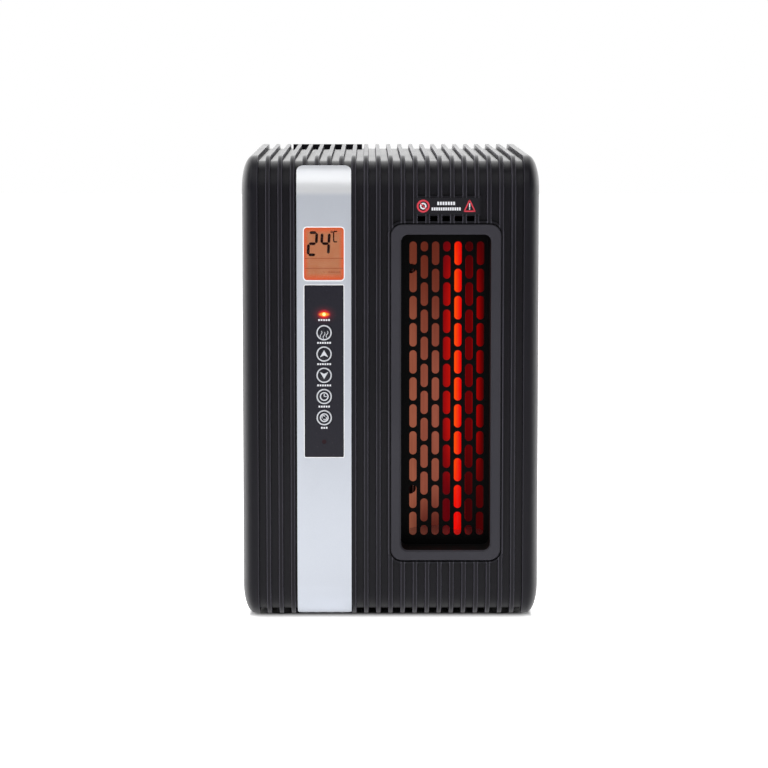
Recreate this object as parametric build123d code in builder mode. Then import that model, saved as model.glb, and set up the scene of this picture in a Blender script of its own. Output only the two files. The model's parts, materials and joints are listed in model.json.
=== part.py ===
"""Upright quartz-tube space heater with a ribbed wrap-round case, in millimetres.

+X is to the right and +Y to the back, seen from the front; +Z is up. The origin is on the floor, under
the middle of the case.
"""
import os
from math import cos, degrees, radians, sin

from build123d import *

os.makedirs("parts", exist_ok=True)

# ---------------------------------------------------------------- overall sizes
overall_width = 210.0
overall_depth = 290.0
overall_height = 329.6
foot_height = 2.0

# ---------------------------------------------------------------- clearances
seat_gap = 0.3          # between pieces that seat in each other
foot_gap = 0.8          # round a foot in its seat
screw_gap = 0.2         # radial, round a screw in a clearance hole
running_gap = 0.1       # radial, pin or shaft in its hole
key_gap = 0.25          # round a key cap
bore_gap = 0.02         # radial, pressed pieces of one body

# ---------------------------------------------------------------- ribbed case
rib_pitch = 8.63
rib_width = 3.6
rib_height = 3.6
rib_draft = 0.35
rib_edge = 0.5
rib_root = 1.0          # how far a rib's foot sinks into the skin
rib_margin = 5.0        # bare strip beside each side panel
crest_radius = 25.0
skin = 2.4
seam_y = 60.0           # the joint between the two shells, behind the middle
panel_thickness = 11.65
pillow_width = 8.3      # half axes of the side panel's rounded edge
pillow_height = 21.5
panel_wall = 2.6
flange_reach = 6.0
flange_wall = 2.0
foot_radius = 9.0
foot_inset_x = 27.0
foot_inset_y = 38.0

# ---------------------------------------------------------------- control strip
fascia_x = -46.85
fascia_width = 38.3
fascia_top_angle = 48.0
fascia_bottom_angle = 68.0
fascia_top_corner = 5.0
fascia_bottom_corner = 3.0
fascia_gap = 0.8
fascia_margin = 6.0     # strip of skin that the fascia seats on, each side
display_width = 28.6
display_height = 37.5
display_corner = 2.5
display_drop = 49.3     # top of the case down to the top of the display
window_thickness = 1.4
overlay_width = 28.0
overlay_height = 122.1
overlay_corner = 1.0
overlay_drop = 3.1      # below the display
overlay_thickness = 1.2
overlay_recess = 0.4
key_names = ["heat", "warmer", "cooler", "timer", "eco"]
key_radius = 5.4
key_pitch = 15.05
key_drop = 33.7         # top of the overlay down to the first key
key_travel = 0.6
key_flange = 1.0
stem_radius = 2.0
led_drop = 20.8
led_radius = 1.5
sensor_drop = 111.0
sensor_radius = 1.6
board_depth = 13.0      # crest of the ribs back to the board
board_thickness = 1.6
board_side = 4.0        # how much narrower the board is than the strip, each side
board_end = 6.0
post_radius = 2.6
tact_size = 6.0
tact_case = 2.6
tact_height = 3.5

# ---------------------------------------------------------------- warm-air outlet
outlet_x = 38.9
outlet_bottom = 43.7
outlet_top_drop = 47.4  # top of the case down to the top of the bezel
bezel_width = 77.7
bezel_corner = 8.2
bezel_rim = 7.25        # width of the bezel's face
bezel_gap = 0.9
shell_rim = 1.2
tunnel_wall = 1.8
tunnel_corner = 5.0
guard_depth = 28.2      # crest of the ribs back to the guard
guard_thickness = 1.0
slot_width = 5.2
slot_length = 16.8
slot_bridge = 2.6
column_pitch = 7.98
column_count = 7
slot_margin = 6.4
slot_shift = 1.2        # middle of the slots, to the right of the opening's
guard_edge = 2.4
guard_screw_inset = 12.0
badge_x = 39.8
badge_width = 44.9
badge_height = 11.5
badge_lift = 7.0        # above the bezel
badge_thickness = 0.5
pad_border = 1.2
vent_height = 3.6
vent_count = 5
vent_width = 5.0

# ---------------------------------------------------------------- heater and blower
sheet = 1.0
chamber_depth = 85.0
chamber_step = 3.25     # how far the duct is wider than the opening, each side
chamber_inset = 5.15    # how far it is shorter, each end
tube_shift = 0.337      # to the right of the opening's middle, as a share of its half width
tube_depth = 60.0       # crest of the ribs back to the tube's axis
tube_radius = 5.0
tube_wall = 1.0
coil_radius = 3.0
coil_wall = 0.7
cap_radius = 7.0
cap_length = 10.0
cap_seat = 8.0          # how far the tube sits in its cap
bracket_width = 18.0
bracket_depth = 14.0
reflector_thickness = 0.8
reflector_gap = 6.5     # air passage each side of it
reflector_sweep = 24.0
reflector_back = 16.0   # behind the tube's axis
reflector_hole = 3.5
reflector_hole_inset = 4.9
upper_hole_drop = 28.4   # below the top of the opening
lower_hole_lift = 34.7   # above its bottom
rotor_clearance = 4.85  # rotor to the duct's side wall
rotor_setback = 12.0    # rotor to the back of the duct
rotor_end_gap = 4.0
tongue_gap = 2.8
blade_count = 28
blade_chord = 5.2
blade_thickness = 0.7
disc_thickness = 1.5
shaft_radius = 2.5
hub_radius = 6.0
hub_length = 8.0
motor_radius = 28.0
motor_height = 36.0
plate = 1.2
bearing_height = 8.0
bush_radius = 6.0

# ---------------------------------------------------------------- back
cover_width = 140.0
cover_height = 190.0
cover_bottom = 100.5
cover_thickness = 3.0
cover_gap = 1.5
louvre_length = 27.0
louvre_width = 3.2
louvre_columns = 4
louvre_rows = 24
louvre_gap = 5.0        # between columns
louvre_bar = 3.4        # between rows
filter_width = 120.0
filter_height = 166.0
filter_thickness = 5.4
lip_wall = 1.2
lip_reach = 3.7
window_border = 1.6     # round the lip, to the window's edge
hinge_radius = 1.0
ear_width = 3.0
vent_opening = (54.0, 26.0)     # the vent in the top, near the back
vent_bay_at = -5.5              # its middle, in rib pitches from the centre line
vent_front = 99.0
gland_x = -60.0
gland_z = 36.0
gland_bore = 3.6
gland_radius = 8.0
gland_wall = 2.4
switch_x = 52.0
switch_z = 40.0
switch_tilt = 7.0
switch_body = (18.4, 25.4)
switch_depth = 17.4
switch_flange = (21.0, 28.0)
switch_seat = (24.0, 31.0)
switch_opening = (13.0, 20.6)
spade_size = (6.3, 0.8)
spade_length = 9.0
spade_pitch = 7.0
rocker_pin = 1.0
screw_radius = 1.5
screw_head = 2.6
guard_screw_radius = 1.25

# ---------------------------------------------------------------- places worked out from the sizes
front = -overall_depth / 2
back = overall_depth / 2
top = overall_height
base = foot_height
case_height = top - base
case_middle = (top + base) / 2
panel_inner = overall_width / 2 - panel_thickness
wrap_half = panel_inner - seat_gap
recess = rib_height
inside = rib_height + skin
rib_side = int((panel_inner - rib_margin - rib_width / 2) / rib_pitch)
rib_places = [(k * rib_pitch, 0, 0) for k in range(-rib_side, rib_side + 1)]
floor_inside = base + inside

outlet_top = top - outlet_top_drop
bezel_height = outlet_top - outlet_bottom
outlet_z = (outlet_top + outlet_bottom) / 2
opening_width = bezel_width - 2 * bezel_rim
opening_height = bezel_height - 2 * bezel_rim
tunnel_width = opening_width + 2 * tunnel_wall
tunnel_height = opening_height + 2 * tunnel_wall
guard_front = front + guard_depth
guard_back = guard_front + guard_thickness
guard_border = 2 * screw_head + guard_edge
guard_width = tunnel_width + 2 * guard_border
guard_height = tunnel_height + 2 * guard_border
guard_screw_z = tunnel_height / 2 - guard_screw_inset
row_pitch = slot_length + slot_bridge
row_count = int((opening_height - 2 * slot_margin + slot_bridge) / row_pitch)

display_top = top - display_drop
display_z = display_top - display_height / 2
overlay_top = display_top - display_height - overlay_drop
overlay_z = overlay_top - overlay_height / 2
overlay_face = front + overlay_recess
key_heights = [overlay_top - key_drop - n * key_pitch for n in range(len(key_names))]
board_front = front + board_depth
board_width = fascia_width - 2 * board_side
board_bottom = overlay_z - overlay_height / 2 - board_end
board_top = display_top + board_end
board_z = (board_top + board_bottom) / 2
tact_top = board_front - tact_height
led_z = overlay_top - led_drop
sensor_z = overlay_top - sensor_drop

chamber_width = opening_width + 2 * chamber_step
rotor_radius = chamber_width / 2 - rotor_clearance
guard_screw_x = chamber_width / 2 + sheet + guard_screw_radius + seat_gap
chamber_front = guard_back
chamber_back = chamber_front + chamber_depth
chamber_bottom = outlet_z - opening_height / 2 + chamber_inset
chamber_top = outlet_z + opening_height / 2 - chamber_inset
tube_x = outlet_x + tube_shift * opening_width / 2
tube_y = front + tube_depth
cap_bottom = chamber_bottom - cap_length
cap_top = chamber_top + cap_length
rotor_x = outlet_x
rotor_y = chamber_back + rotor_radius + rotor_setback
scroll_bottom = chamber_bottom
scroll_top = chamber_top
rotor_bottom = scroll_bottom + rotor_end_gap
rotor_top = scroll_top - rotor_end_gap
bracket_top = scroll_bottom - plate
tray_top = floor_inside + plate

hinge_y = back - recess / 2
hinge_z = cover_bottom + cover_thickness / 2
cover_inner = hinge_y - cover_thickness / 2
cover_z = cover_bottom + cover_height / 2
cover_top = cover_bottom + cover_height
filter_z = cover_z
lip_width = filter_width + 2 * (seat_gap + lip_wall)
lip_height = filter_height + 2 * (seat_gap + lip_wall)
window_width = lip_width + 2 * window_border
window_height = lip_height + 2 * window_border
gland_sleeve = gland_bore + gland_wall
vent_x = vent_bay_at * rib_pitch
vent_back = vent_front + vent_opening[1]


def facing(y):
    """The upright plane at a depth y, seen from the front: x to the right, z up."""
    return Plane.XZ.offset(-y)


def case_outline(inset, mode=Mode.ADD):
    """The rounded outline of the case from its side, drawn in by an inset."""
    with Locations((0, case_middle)):
        RectangleRounded(
            overall_depth - 2 * inset, case_height - 2 * inset, crest_radius - inset, mode=mode
        )


def curved_strip(gap, inner_inset, outer_inset):
    """The control strip's slab, round the case's front from one end angle to the other."""
    inner = crest_radius - inner_inset
    outer = crest_radius - outer_inset
    upper = (front + crest_radius, top - crest_radius)
    lower = (front + crest_radius, base + crest_radius)
    spare = degrees(gap / crest_radius)
    top_turn = fascia_top_angle + spare
    bottom_turn = fascia_bottom_angle + spare
    with BuildPart() as strip:
        with BuildSketch(Plane.YZ.offset(fascia_x - fascia_width / 2 - gap)):
            with BuildLine():
                over = CenterArc(upper, outer, 180 - top_turn, top_turn)
                under = CenterArc(lower, outer, 180, bottom_turn)
                over_inner = CenterArc(upper, inner, 180 - top_turn, top_turn)
                under_inner = CenterArc(lower, inner, 180, bottom_turn)
                Line(over @ 1, under @ 0)
                Line(over_inner @ 1, under_inner @ 0)
                Line(over @ 0, over_inner @ 0)
                Line(under @ 1, under_inner @ 1)
            make_face()
        extrude(amount=fascia_width + 2 * gap)
        ends = strip.faces().filter_by(GeomType.PLANE).filter_by(
            lambda face: abs(face.normal_at().X) < 0.01 and abs(face.normal_at().Z) > 0.1
        )
        top_end = ends.sort_by(Axis.Z)[-1]
        fillet(top_end.edges().filter_by(Axis.X, reverse=True), fascia_top_corner + gap)
        ends = strip.faces().filter_by(GeomType.PLANE).filter_by(
            lambda face: abs(face.normal_at().X) < 0.01 and abs(face.normal_at().Z) > 0.1
        )
        bottom_end = ends.sort_by(Axis.Z)[0]
        fillet(bottom_end.edges().filter_by(Axis.X, reverse=True), fascia_bottom_corner + gap)
    return strip.part


def screw(head_radius, head_height, shank_radius, length):
    """A pan-head screw with a cross recess, head up, its seat at the origin."""
    with BuildPart() as one_screw:
        Cylinder(head_radius, head_height, align=(Align.CENTER, Align.CENTER, Align.MIN))
        fillet(one_screw.faces().sort_by(Axis.Z)[-1].edges(), head_height * 0.45)
        with BuildSketch(Plane.XY):
            Circle(shank_radius)
        extrude(amount=-length)
        with BuildSketch(Plane.XY.offset(head_height)):
            Rectangle(head_radius * 1.1, head_radius * 0.28)
            Rectangle(head_radius * 0.28, head_radius * 1.1)
        extrude(amount=-head_height * 0.6, mode=Mode.SUBTRACT)
    return one_screw.part


# ---------------------------------------------------------------- one rib, cut at the seam
with BuildPart() as rib:
    with BuildSketch(Plane.YZ):
        case_outline(0)
        case_outline(rib_height + rib_root, mode=Mode.SUBTRACT)
    extrude(amount=rib_width / 2, both=True)
    for side in (0, -1):
        flank = rib.faces().filter_by(Axis.X).sort_by(Axis.X)[side]
        chamfer(flank.outer_wire().edges(), length=rib_height, length2=rib_draft, reference=flank)
    crest_half = rib_width / 2 - rib_draft
    fillet(rib.edges().filter_by(lambda edge: abs(abs(edge.center().X) - crest_half) < 0.01), rib_edge)

with BuildPart() as front_rib:
    add(rib.part)
    split(bisect_by=facing(seam_y), keep=Keep.TOP)

with BuildPart() as rear_rib:
    add(rib.part)
    split(bisect_by=facing(seam_y), keep=Keep.BOTTOM)

fascia_channel = curved_strip(fascia_gap, recess, -2.0)
foot_places = [
    (sx * (overall_width / 2 - foot_inset_x), sy * (overall_depth / 2 - foot_inset_y))
    for sx in (-1, 1)
    for sy in (-1, 1)
]
board_screw_places = [
    (fascia_x + sx * (board_width / 2 - 3), z) for sx in (-1, 1) for z in (board_bottom + 4, board_top - 4)
]
edge_x = panel_inner - rib_margin / 2 - seat_gap
edge_screw_places = [(sx * edge_x, base + f * case_height) for sx in (-1, 1) for f in (0.18, 0.5, 0.82)]

# ---------------------------------------------------------------- front shell
with BuildPart() as front_shell:
    with BuildSketch(Plane.YZ):
        case_outline(recess)
        case_outline(inside, mode=Mode.SUBTRACT)
    extrude(amount=wrap_half, both=True)
    split(bisect_by=facing(seam_y), keep=Keep.TOP)
    with Locations(*rib_places):
        add(front_rib.part)
    add(fascia_channel, mode=Mode.SUBTRACT)
    # pocket for the bezel, and the raised rim round it
    with BuildSketch(facing(front + recess)):
        with Locations((outlet_x, outlet_z)):
            RectangleRounded(
                bezel_width + 2 * (bezel_gap + shell_rim),
                bezel_height + 2 * (bezel_gap + shell_rim),
                bezel_corner + bezel_gap + shell_rim,
            )
    extrude(amount=recess + 1, mode=Mode.SUBTRACT)
    with BuildSketch(facing(front + recess)):
        with Locations((outlet_x, outlet_z)):
            RectangleRounded(
                bezel_width + 2 * (bezel_gap + shell_rim),
                bezel_height + 2 * (bezel_gap + shell_rim),
                bezel_corner + bezel_gap + shell_rim,
            )
            RectangleRounded(
                bezel_width + 2 * bezel_gap,
                bezel_height + 2 * bezel_gap,
                bezel_corner + bezel_gap,
                mode=Mode.SUBTRACT,
            )
    extrude(amount=recess)
    with BuildSketch(facing(front + inside)):
        with Locations((outlet_x, outlet_z)):
            RectangleRounded(
                tunnel_width + 2 * seat_gap,
                tunnel_height + 2 * seat_gap,
                tunnel_corner + tunnel_wall + seat_gap,
            )
    extrude(amount=skin, mode=Mode.SUBTRACT)
    # flat pad for the badge
    pad_z = outlet_top + badge_lift + badge_height / 2
    pad_face = front + badge_thickness + 0.2
    with BuildSketch(facing(pad_face)):
        with Locations((badge_x, pad_z)):
            Rectangle(badge_width + 2 * pad_border, badge_height + 2 * pad_border)
    extrude(amount=3, mode=Mode.SUBTRACT)
    with BuildSketch(facing(front + inside)):
        with Locations((badge_x, pad_z)):
            Rectangle(badge_width + 2 * pad_border, badge_height + 2 * pad_border)
    extrude(amount=front + inside - pad_face)
    # small vents in the bays between badge and bezel
    vent_bay = round(outlet_x / rib_pitch - 0.5) + 0.5
    with BuildSketch(facing(front + inside)):
        with Locations((vent_bay * rib_pitch, outlet_top + bezel_gap + shell_rim + vent_height / 2)):
            with GridLocations(rib_pitch, 1, vent_count, 1):
                Rectangle(vent_width, vent_height)
    extrude(amount=inside, mode=Mode.SUBTRACT)
    # window behind the control strip, with the board's posts beside it
    with BuildSketch(facing(front + inside)):
        with Locations((fascia_x, board_z)):
            Rectangle(fascia_width - 2 * fascia_margin, board_top - board_bottom - 14)
    extrude(amount=skin, mode=Mode.SUBTRACT)
    with BuildSketch(facing(board_front)):
        with Locations(*board_screw_places):
            Circle(post_radius)
    extrude(amount=board_front - front - inside)
    with BuildSketch(facing(board_front)):
        with Locations(*board_screw_places):
            Circle(1.0 + bore_gap)
    extrude(amount=5, mode=Mode.SUBTRACT)
    # seats of the feet
    with BuildSketch(Plane.XY.offset(base + recess)):
        with Locations(*foot_places):
            Circle(foot_radius + foot_gap)
    extrude(amount=-recess - 1, mode=Mode.SUBTRACT)
    with BuildSketch(Plane.XY.offset(floor_inside)):
        with Locations(*foot_places):
            Circle(screw_radius + screw_gap)
    extrude(amount=-skin, mode=Mode.SUBTRACT)
front_shell.part.label = "front_shell"
export_step(front_shell.part, "parts/front_shell.step")

# ---------------------------------------------------------------- rear shell
with BuildPart() as rear_shell:
    with BuildSketch(Plane.YZ):
        case_outline(recess)
        case_outline(inside, mode=Mode.SUBTRACT)
    extrude(amount=wrap_half, both=True)
    split(bisect_by=facing(seam_y), keep=Keep.BOTTOM)
    # the vent in the top, which the ribs bridge
    with BuildSketch(Plane.XY.offset(top - inside - crest_radius / 3)):
        with Locations((vent_x, (vent_front + vent_back) / 2)):
            Rectangle(*vent_opening)
    extrude(amount=inside + crest_radius / 3, mode=Mode.SUBTRACT)
    with Locations(*rib_places):
        add(rear_rib.part)
    with BuildSketch(Plane.XY.offset(top - rib_height - rib_root)):
        with Locations((vent_x, vent_back - 1.5)):
            Rectangle(vent_opening[0], 3.0)
    extrude(amount=rib_height + rib_root - 0.2)
    # recess for the intake cover, and the window behind it
    with BuildSketch(facing(back - recess)):
        with Locations((0, cover_z)):
            Rectangle(cover_width + 2 * (ear_width + seat_gap), cover_height + 2 * cover_gap)
    extrude(amount=-recess - 1, mode=Mode.SUBTRACT)
    with BuildSketch(facing(back - inside)):
        with Locations((0, filter_z)):
            RectangleRounded(window_width, window_height, 3)
    extrude(amount=-skin, mode=Mode.SUBTRACT)
    # hinge ears
    ear_x = cover_width / 2 + seat_gap + ear_width / 2
    with BuildSketch(Plane.YZ.offset(-ear_x - ear_width / 2)):
        with Locations((back - recess / 2, hinge_z)):
            Rectangle(recess, 6)
        with Locations((hinge_y, hinge_z)):
            Circle(hinge_radius + running_gap, mode=Mode.SUBTRACT)
    extrude(amount=ear_width)
    with BuildSketch(Plane.YZ.offset(ear_x - ear_width / 2)):
        with Locations((back - recess / 2, hinge_z)):
            Rectangle(recess, 6)
        with Locations((hinge_y, hinge_z)):
            Circle(hinge_radius + running_gap, mode=Mode.SUBTRACT)
    extrude(amount=ear_width)
    # seats for the cord gland and the mains switch
    with BuildSketch(facing(back - recess)):
        with Locations((gland_x, gland_z)):
            Circle(gland_radius + 1.5)
        with Locations((switch_x, switch_z)):
            RectangleRounded(*switch_seat, 2)
    extrude(amount=-recess - 1, mode=Mode.SUBTRACT)
    with BuildSketch(facing(back - inside)):
        with Locations((gland_x, gland_z)):
            Circle(gland_sleeve + seat_gap)
        with Locations((switch_x, switch_z)):
            Rectangle(switch_body[0] + 2 * seat_gap, switch_body[1] + 2 * seat_gap)
        with Locations(*edge_screw_places):
            Circle(screw_radius + screw_gap)
    extrude(amount=-skin, mode=Mode.SUBTRACT)
    with BuildSketch(Plane.XY.offset(base + recess)):
        with Locations(*foot_places):
            Circle(foot_radius + foot_gap)
    extrude(amount=-recess - 1, mode=Mode.SUBTRACT)
    with BuildSketch(Plane.XY.offset(floor_inside)):
        with Locations(*foot_places):
            Circle(screw_radius + screw_gap)
    extrude(amount=-skin, mode=Mode.SUBTRACT)
rear_shell.part.label = "rear_shell"
export_step(rear_shell.part, "parts/rear_shell.step")

# ---------------------------------------------------------------- side panels
pillow_steps = 7
with BuildPart() as right_side_panel:
    with BuildSketch(Plane.YZ.offset(panel_inner)):
        case_outline(0)
    extrude(amount=panel_thickness - pillow_width)
    for step in range(pillow_steps):
        turn = radians(90 * step / (pillow_steps - 1))
        rise = panel_thickness - pillow_width * (1 - sin(turn))
        with BuildSketch(Plane.YZ.offset(panel_inner + rise)):
            case_outline(pillow_height * (1 - cos(turn)))
    loft()
    # stepped hollow behind the face
    with BuildSketch(Plane.YZ.offset(panel_inner)):
        case_outline(inside + seat_gap + flange_wall)
    extrude(amount=panel_thickness - pillow_width + 0.6, mode=Mode.SUBTRACT)
    with BuildSketch(Plane.YZ.offset(panel_inner)):
        case_outline(pillow_height)
    extrude(amount=panel_thickness - panel_wall, mode=Mode.SUBTRACT)
    # the ring that slips inside the wrap, with a block behind each case screw
    with BuildSketch(Plane.YZ.offset(panel_inner - flange_reach)):
        case_outline(inside + seat_gap)
        case_outline(inside + seat_gap + flange_wall, mode=Mode.SUBTRACT)
    extrude(amount=flange_reach + 0.5)
    with BuildSketch(facing(back - inside - seat_gap)):
        with Locations(*[(x, z) for x, z in edge_screw_places if x > 0]):
            Rectangle(6.2, 8)
    extrude(amount=10)
    with BuildSketch(facing(back - inside - seat_gap)):
        with Locations(*[(x, z) for x, z in edge_screw_places if x > 0]):
            Circle(screw_radius + bore_gap)
    extrude(amount=9, mode=Mode.SUBTRACT)
right_side_panel.part.label = "right_side_panel"
export_step(right_side_panel.part, "parts/right_side_panel.step")

with BuildPart() as left_side_panel:
    mirrored = mirror(right_side_panel.part, about=Plane.YZ, mode=Mode.PRIVATE)
    add(mirrored)
left_side_panel.part.label = "left_side_panel"
export_step(left_side_panel.part, "parts/left_side_panel.step")

# ---------------------------------------------------------------- control strip
fascia_slab = curved_strip(0, recess - 0.2, 0)
with BuildPart() as control_fascia:
    add(fascia_slab)
    # display opening with a ledge for the window, and a bevel round its front
    with BuildSketch(facing(front + recess)):
        with Locations((fascia_x, display_z)):
            RectangleRounded(display_width - 3, display_height - 3, display_corner - 1)
    extrude(amount=recess + 1, mode=Mode.SUBTRACT)
    with BuildSketch(facing(front + window_thickness + 0.4)):
        with Locations((fascia_x, display_z)):
            RectangleRounded(display_width, display_height, display_corner)
    extrude(amount=window_thickness + 1.4, mode=Mode.SUBTRACT)
    # shallow seat of the keypad overlay
    with BuildSketch(facing(overlay_face + overlay_thickness)):
        with Locations((fascia_x, overlay_z)):
            RectangleRounded(overlay_width, overlay_height, overlay_corner)
    extrude(amount=overlay_thickness + 1, mode=Mode.SUBTRACT)
    rims = control_fascia.edges().filter_by(lambda edge: abs(edge.center().Y - front) < 0.001)
    inner_rims = rims.filter_by(lambda edge: abs(edge.center().X - fascia_x) < fascia_width / 2 - 2)
    inner_rims = inner_rims.filter_by(
        lambda edge: overlay_top - overlay_height - 1 < edge.center().Z < display_top + 1
    )
    chamfer(inner_rims, 0.35)
    with BuildSketch(facing(front + recess)):
        with Locations(*[(fascia_x, z) for z in key_heights]):
            Circle(key_radius + key_gap)
        with Locations((fascia_x, led_z)):
            Circle(led_radius + key_gap)
        with Locations((fascia_x, sensor_z)):
            Circle(sensor_radius + key_gap)
    extrude(amount=recess, mode=Mode.SUBTRACT)
control_fascia.part.label = "control_fascia"
export_step(control_fascia.part, "parts/control_fascia.step")

with BuildPart() as display_window:
    with BuildSketch(facing(front + window_thickness + 0.4)):
        with Locations((fascia_x, display_z)):
            RectangleRounded(display_width - 0.3, display_height - 0.3, display_corner - 0.15)
    extrude(amount=window_thickness)
    chamfer(display_window.faces().sort_by(Axis.Y)[0].edges(), 0.3)
display_window.part.label = "display_window"
export_step(display_window.part, "parts/display_window.step")

with BuildPart() as display_module:
    with BuildSketch(facing(board_front)):
        with Locations((fascia_x, display_z)):
            Rectangle(display_width - 5, display_height - 4)
    extrude(amount=board_front - front - recess - 0.6)
    with BuildSketch(facing(front + recess + 0.6)):
        with Locations((fascia_x, display_z)):
            Rectangle(display_width - 7, display_height - 6)
    extrude(amount=1.4)
display_module.part.label = "display_module"
export_step(display_module.part, "parts/display_module.step")

with BuildPart() as keypad_overlay:
    with BuildSketch(facing(overlay_face + overlay_thickness)):
        with Locations((fascia_x, overlay_z)):
            RectangleRounded(overlay_width - 0.2, overlay_height - 0.2, overlay_corner)
        with Locations(*[(fascia_x, z) for z in key_heights]):
            Circle(key_radius + key_gap, mode=Mode.SUBTRACT)
        with Locations((fascia_x, led_z)):
            Circle(led_radius + bore_gap, mode=Mode.SUBTRACT)
        with Locations((fascia_x, sensor_z)):
            Circle(sensor_radius + bore_gap, mode=Mode.SUBTRACT)
    extrude(amount=overlay_thickness)
keypad_overlay.part.label = "keypad_overlay"
export_step(keypad_overlay.part, "parts/keypad_overlay.step")

# ---------------------------------------------------------------- keys, lamp and remote sensor
for key_name, key_z in zip(key_names, key_heights):
    with BuildPart() as key:
        with BuildSketch(facing(front + recess)):
            with Locations((fascia_x, key_z)):
                Circle(key_radius)
        extrude(amount=recess - 0.1)
        fillet(key.faces().sort_by(Axis.Y)[0].edges(), 0.3)
        with BuildSketch(facing(front + recess + 0.1 + key_flange)):
            with Locations((fascia_x, key_z)):
                Circle(key_radius + 1.0)
        extrude(amount=key_flange)
        with BuildSketch(facing(front + recess)):
            with Locations((fascia_x, key_z)):
                Circle(key_radius)
        extrude(amount=-0.5)
        with BuildSketch(facing(tact_top - key_travel - running_gap)):
            with Locations((fascia_x, key_z)):
                Circle(stem_radius)
        extrude(amount=tact_top - key_travel - running_gap - front - recess)
    key.part.label = key_name + "_key"
    export_step(key.part, "parts/" + key_name + "_key.step")

with BuildPart() as power_led:
    with BuildSketch(facing(board_front)):
        with Locations((fascia_x, led_z)):
            Circle(led_radius)
    extrude(amount=board_front - overlay_face - 0.1)
    fillet(power_led.faces().sort_by(Axis.Y)[0].edges(), 1.0)
power_led.part.label = "power_led"
export_step(power_led.part, "parts/power_led.step")

with BuildPart() as remote_sensor:
    with BuildSketch(facing(board_front)):
        with Locations((fascia_x, sensor_z)):
            Rectangle(5, 5)
    extrude(amount=4)
    with BuildSketch(facing(board_front - 4)):
        with Locations((fascia_x, sensor_z)):
            Circle(sensor_radius)
    extrude(amount=board_front - 4 - overlay_face - 0.2)
remote_sensor.part.label = "remote_sensor"
export_step(remote_sensor.part, "parts/remote_sensor.step")

with BuildPart() as tact_switches:
    with BuildSketch(facing(board_front)):
        with Locations(*[(fascia_x, z) for z in key_heights]):
            Rectangle(tact_size, tact_size)
    extrude(amount=tact_case)
    with BuildSketch(facing(board_front - tact_case)):
        with Locations(*[(fascia_x, z) for z in key_heights]):
            Circle(1.7)
    extrude(amount=board_front - tact_case - tact_top)
tact_switches.part.label = "tact_switches"
export_step(tact_switches.part, "parts/tact_switches.step")

with BuildPart() as control_board:
    with BuildSketch(facing(board_front + board_thickness)):
        with Locations((fascia_x, board_z)):
            Rectangle(board_width, board_top - board_bottom)
        with Locations(*board_screw_places):
            Circle(1.2, mode=Mode.SUBTRACT)
    extrude(amount=board_thickness)
    with BuildSketch(facing(board_front + board_thickness)):
        with Locations((fascia_x - 4, display_z - 40), (fascia_x + 5, overlay_z - 20)):
            Rectangle(14, 14)
    extrude(amount=-2.5)
control_board.part.label = "control_board"
export_step(control_board.part, "parts/control_board.step")

board_screw = screw(2.2, 1.4, 1.0, board_thickness + 4)
board_planes = [
    Plane(origin=(x, board_front + board_thickness, z), x_dir=(1, 0, 0), z_dir=(0, 1, 0))
    for x, z in board_screw_places
]
with BuildPart() as board_screws:
    with Locations(*board_planes):
        add(board_screw)
board_screws.part.label = "board_screws"
export_step(board_screws.part, "parts/board_screws.step")

# ---------------------------------------------------------------- warm-air outlet
with BuildPart() as outlet_bezel:
    with BuildSketch(facing(front + recess)):
        with Locations((outlet_x, outlet_z)):
            RectangleRounded(bezel_width, bezel_height, bezel_corner)
    extrude(amount=recess)
    outer_rim = outlet_bezel.faces().sort_by(Axis.Y)[0].edges()
    fillet(outer_rim, 1.2)
    with BuildSketch(facing(guard_front - 0.1)):
        with Locations((outlet_x, outlet_z)):
            RectangleRounded(tunnel_width, tunnel_height, tunnel_corner + tunnel_wall)
    extrude(amount=guard_front - 0.1 - front - recess)
    with BuildSketch(facing(guard_front)):
        with Locations((outlet_x, outlet_z)):
            RectangleRounded(opening_width, opening_height, tunnel_corner)
    extrude(amount=guard_depth + 1, mode=Mode.SUBTRACT)
    inner_rim = outlet_bezel.faces().sort_by(Axis.Y)[0].inner_wires()[0].edges()
    chamfer(inner_rim, 1.1)
outlet_bezel.part.label = "outlet_bezel"
export_step(outlet_bezel.part, "parts/outlet_bezel.step")

guard_screw_places = [
    (outlet_x + sx * guard_screw_x, outlet_z + sz * guard_screw_z) for sx in (-1, 1) for sz in (-1, 1)
]
short_slot = row_pitch / 2 - slot_bridge
short_reach = row_count * row_pitch - slot_bridge - short_slot
with BuildPart() as outlet_guard:
    with BuildSketch(facing(guard_back)):
        with Locations((outlet_x, outlet_z)):
            RectangleRounded(guard_width, guard_height, 4)
        with Locations((outlet_x + slot_shift, outlet_z)):
            with GridLocations(2 * column_pitch, row_pitch, column_count // 2 + 1, row_count):
                RectangleRounded(slot_width, slot_length, slot_width / 2 - 0.05, mode=Mode.SUBTRACT)
            with GridLocations(2 * column_pitch, row_pitch, column_count // 2, row_count - 1):
                RectangleRounded(slot_width, slot_length, slot_width / 2 - 0.05, mode=Mode.SUBTRACT)
            with GridLocations(2 * column_pitch, short_reach, column_count // 2, 2):
                RectangleRounded(slot_width, short_slot, slot_width / 2 - 0.05, mode=Mode.SUBTRACT)
        with Locations(*guard_screw_places):
            Circle(guard_screw_radius + 0.1, mode=Mode.SUBTRACT)
    extrude(amount=guard_thickness)
outlet_guard.part.label = "outlet_guard"
export_step(outlet_guard.part, "parts/outlet_guard.step")

guard_screw = screw(screw_head, 1.6, guard_screw_radius, guard_thickness + sheet + 3)
with BuildPart() as guard_screws:
    with Locations(*[facing(guard_front) * Pos(x, z, 0) for x, z in guard_screw_places]):
        add(guard_screw)
guard_screws.part.label = "guard_screws"
export_step(guard_screws.part, "parts/guard_screws.step")

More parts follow.
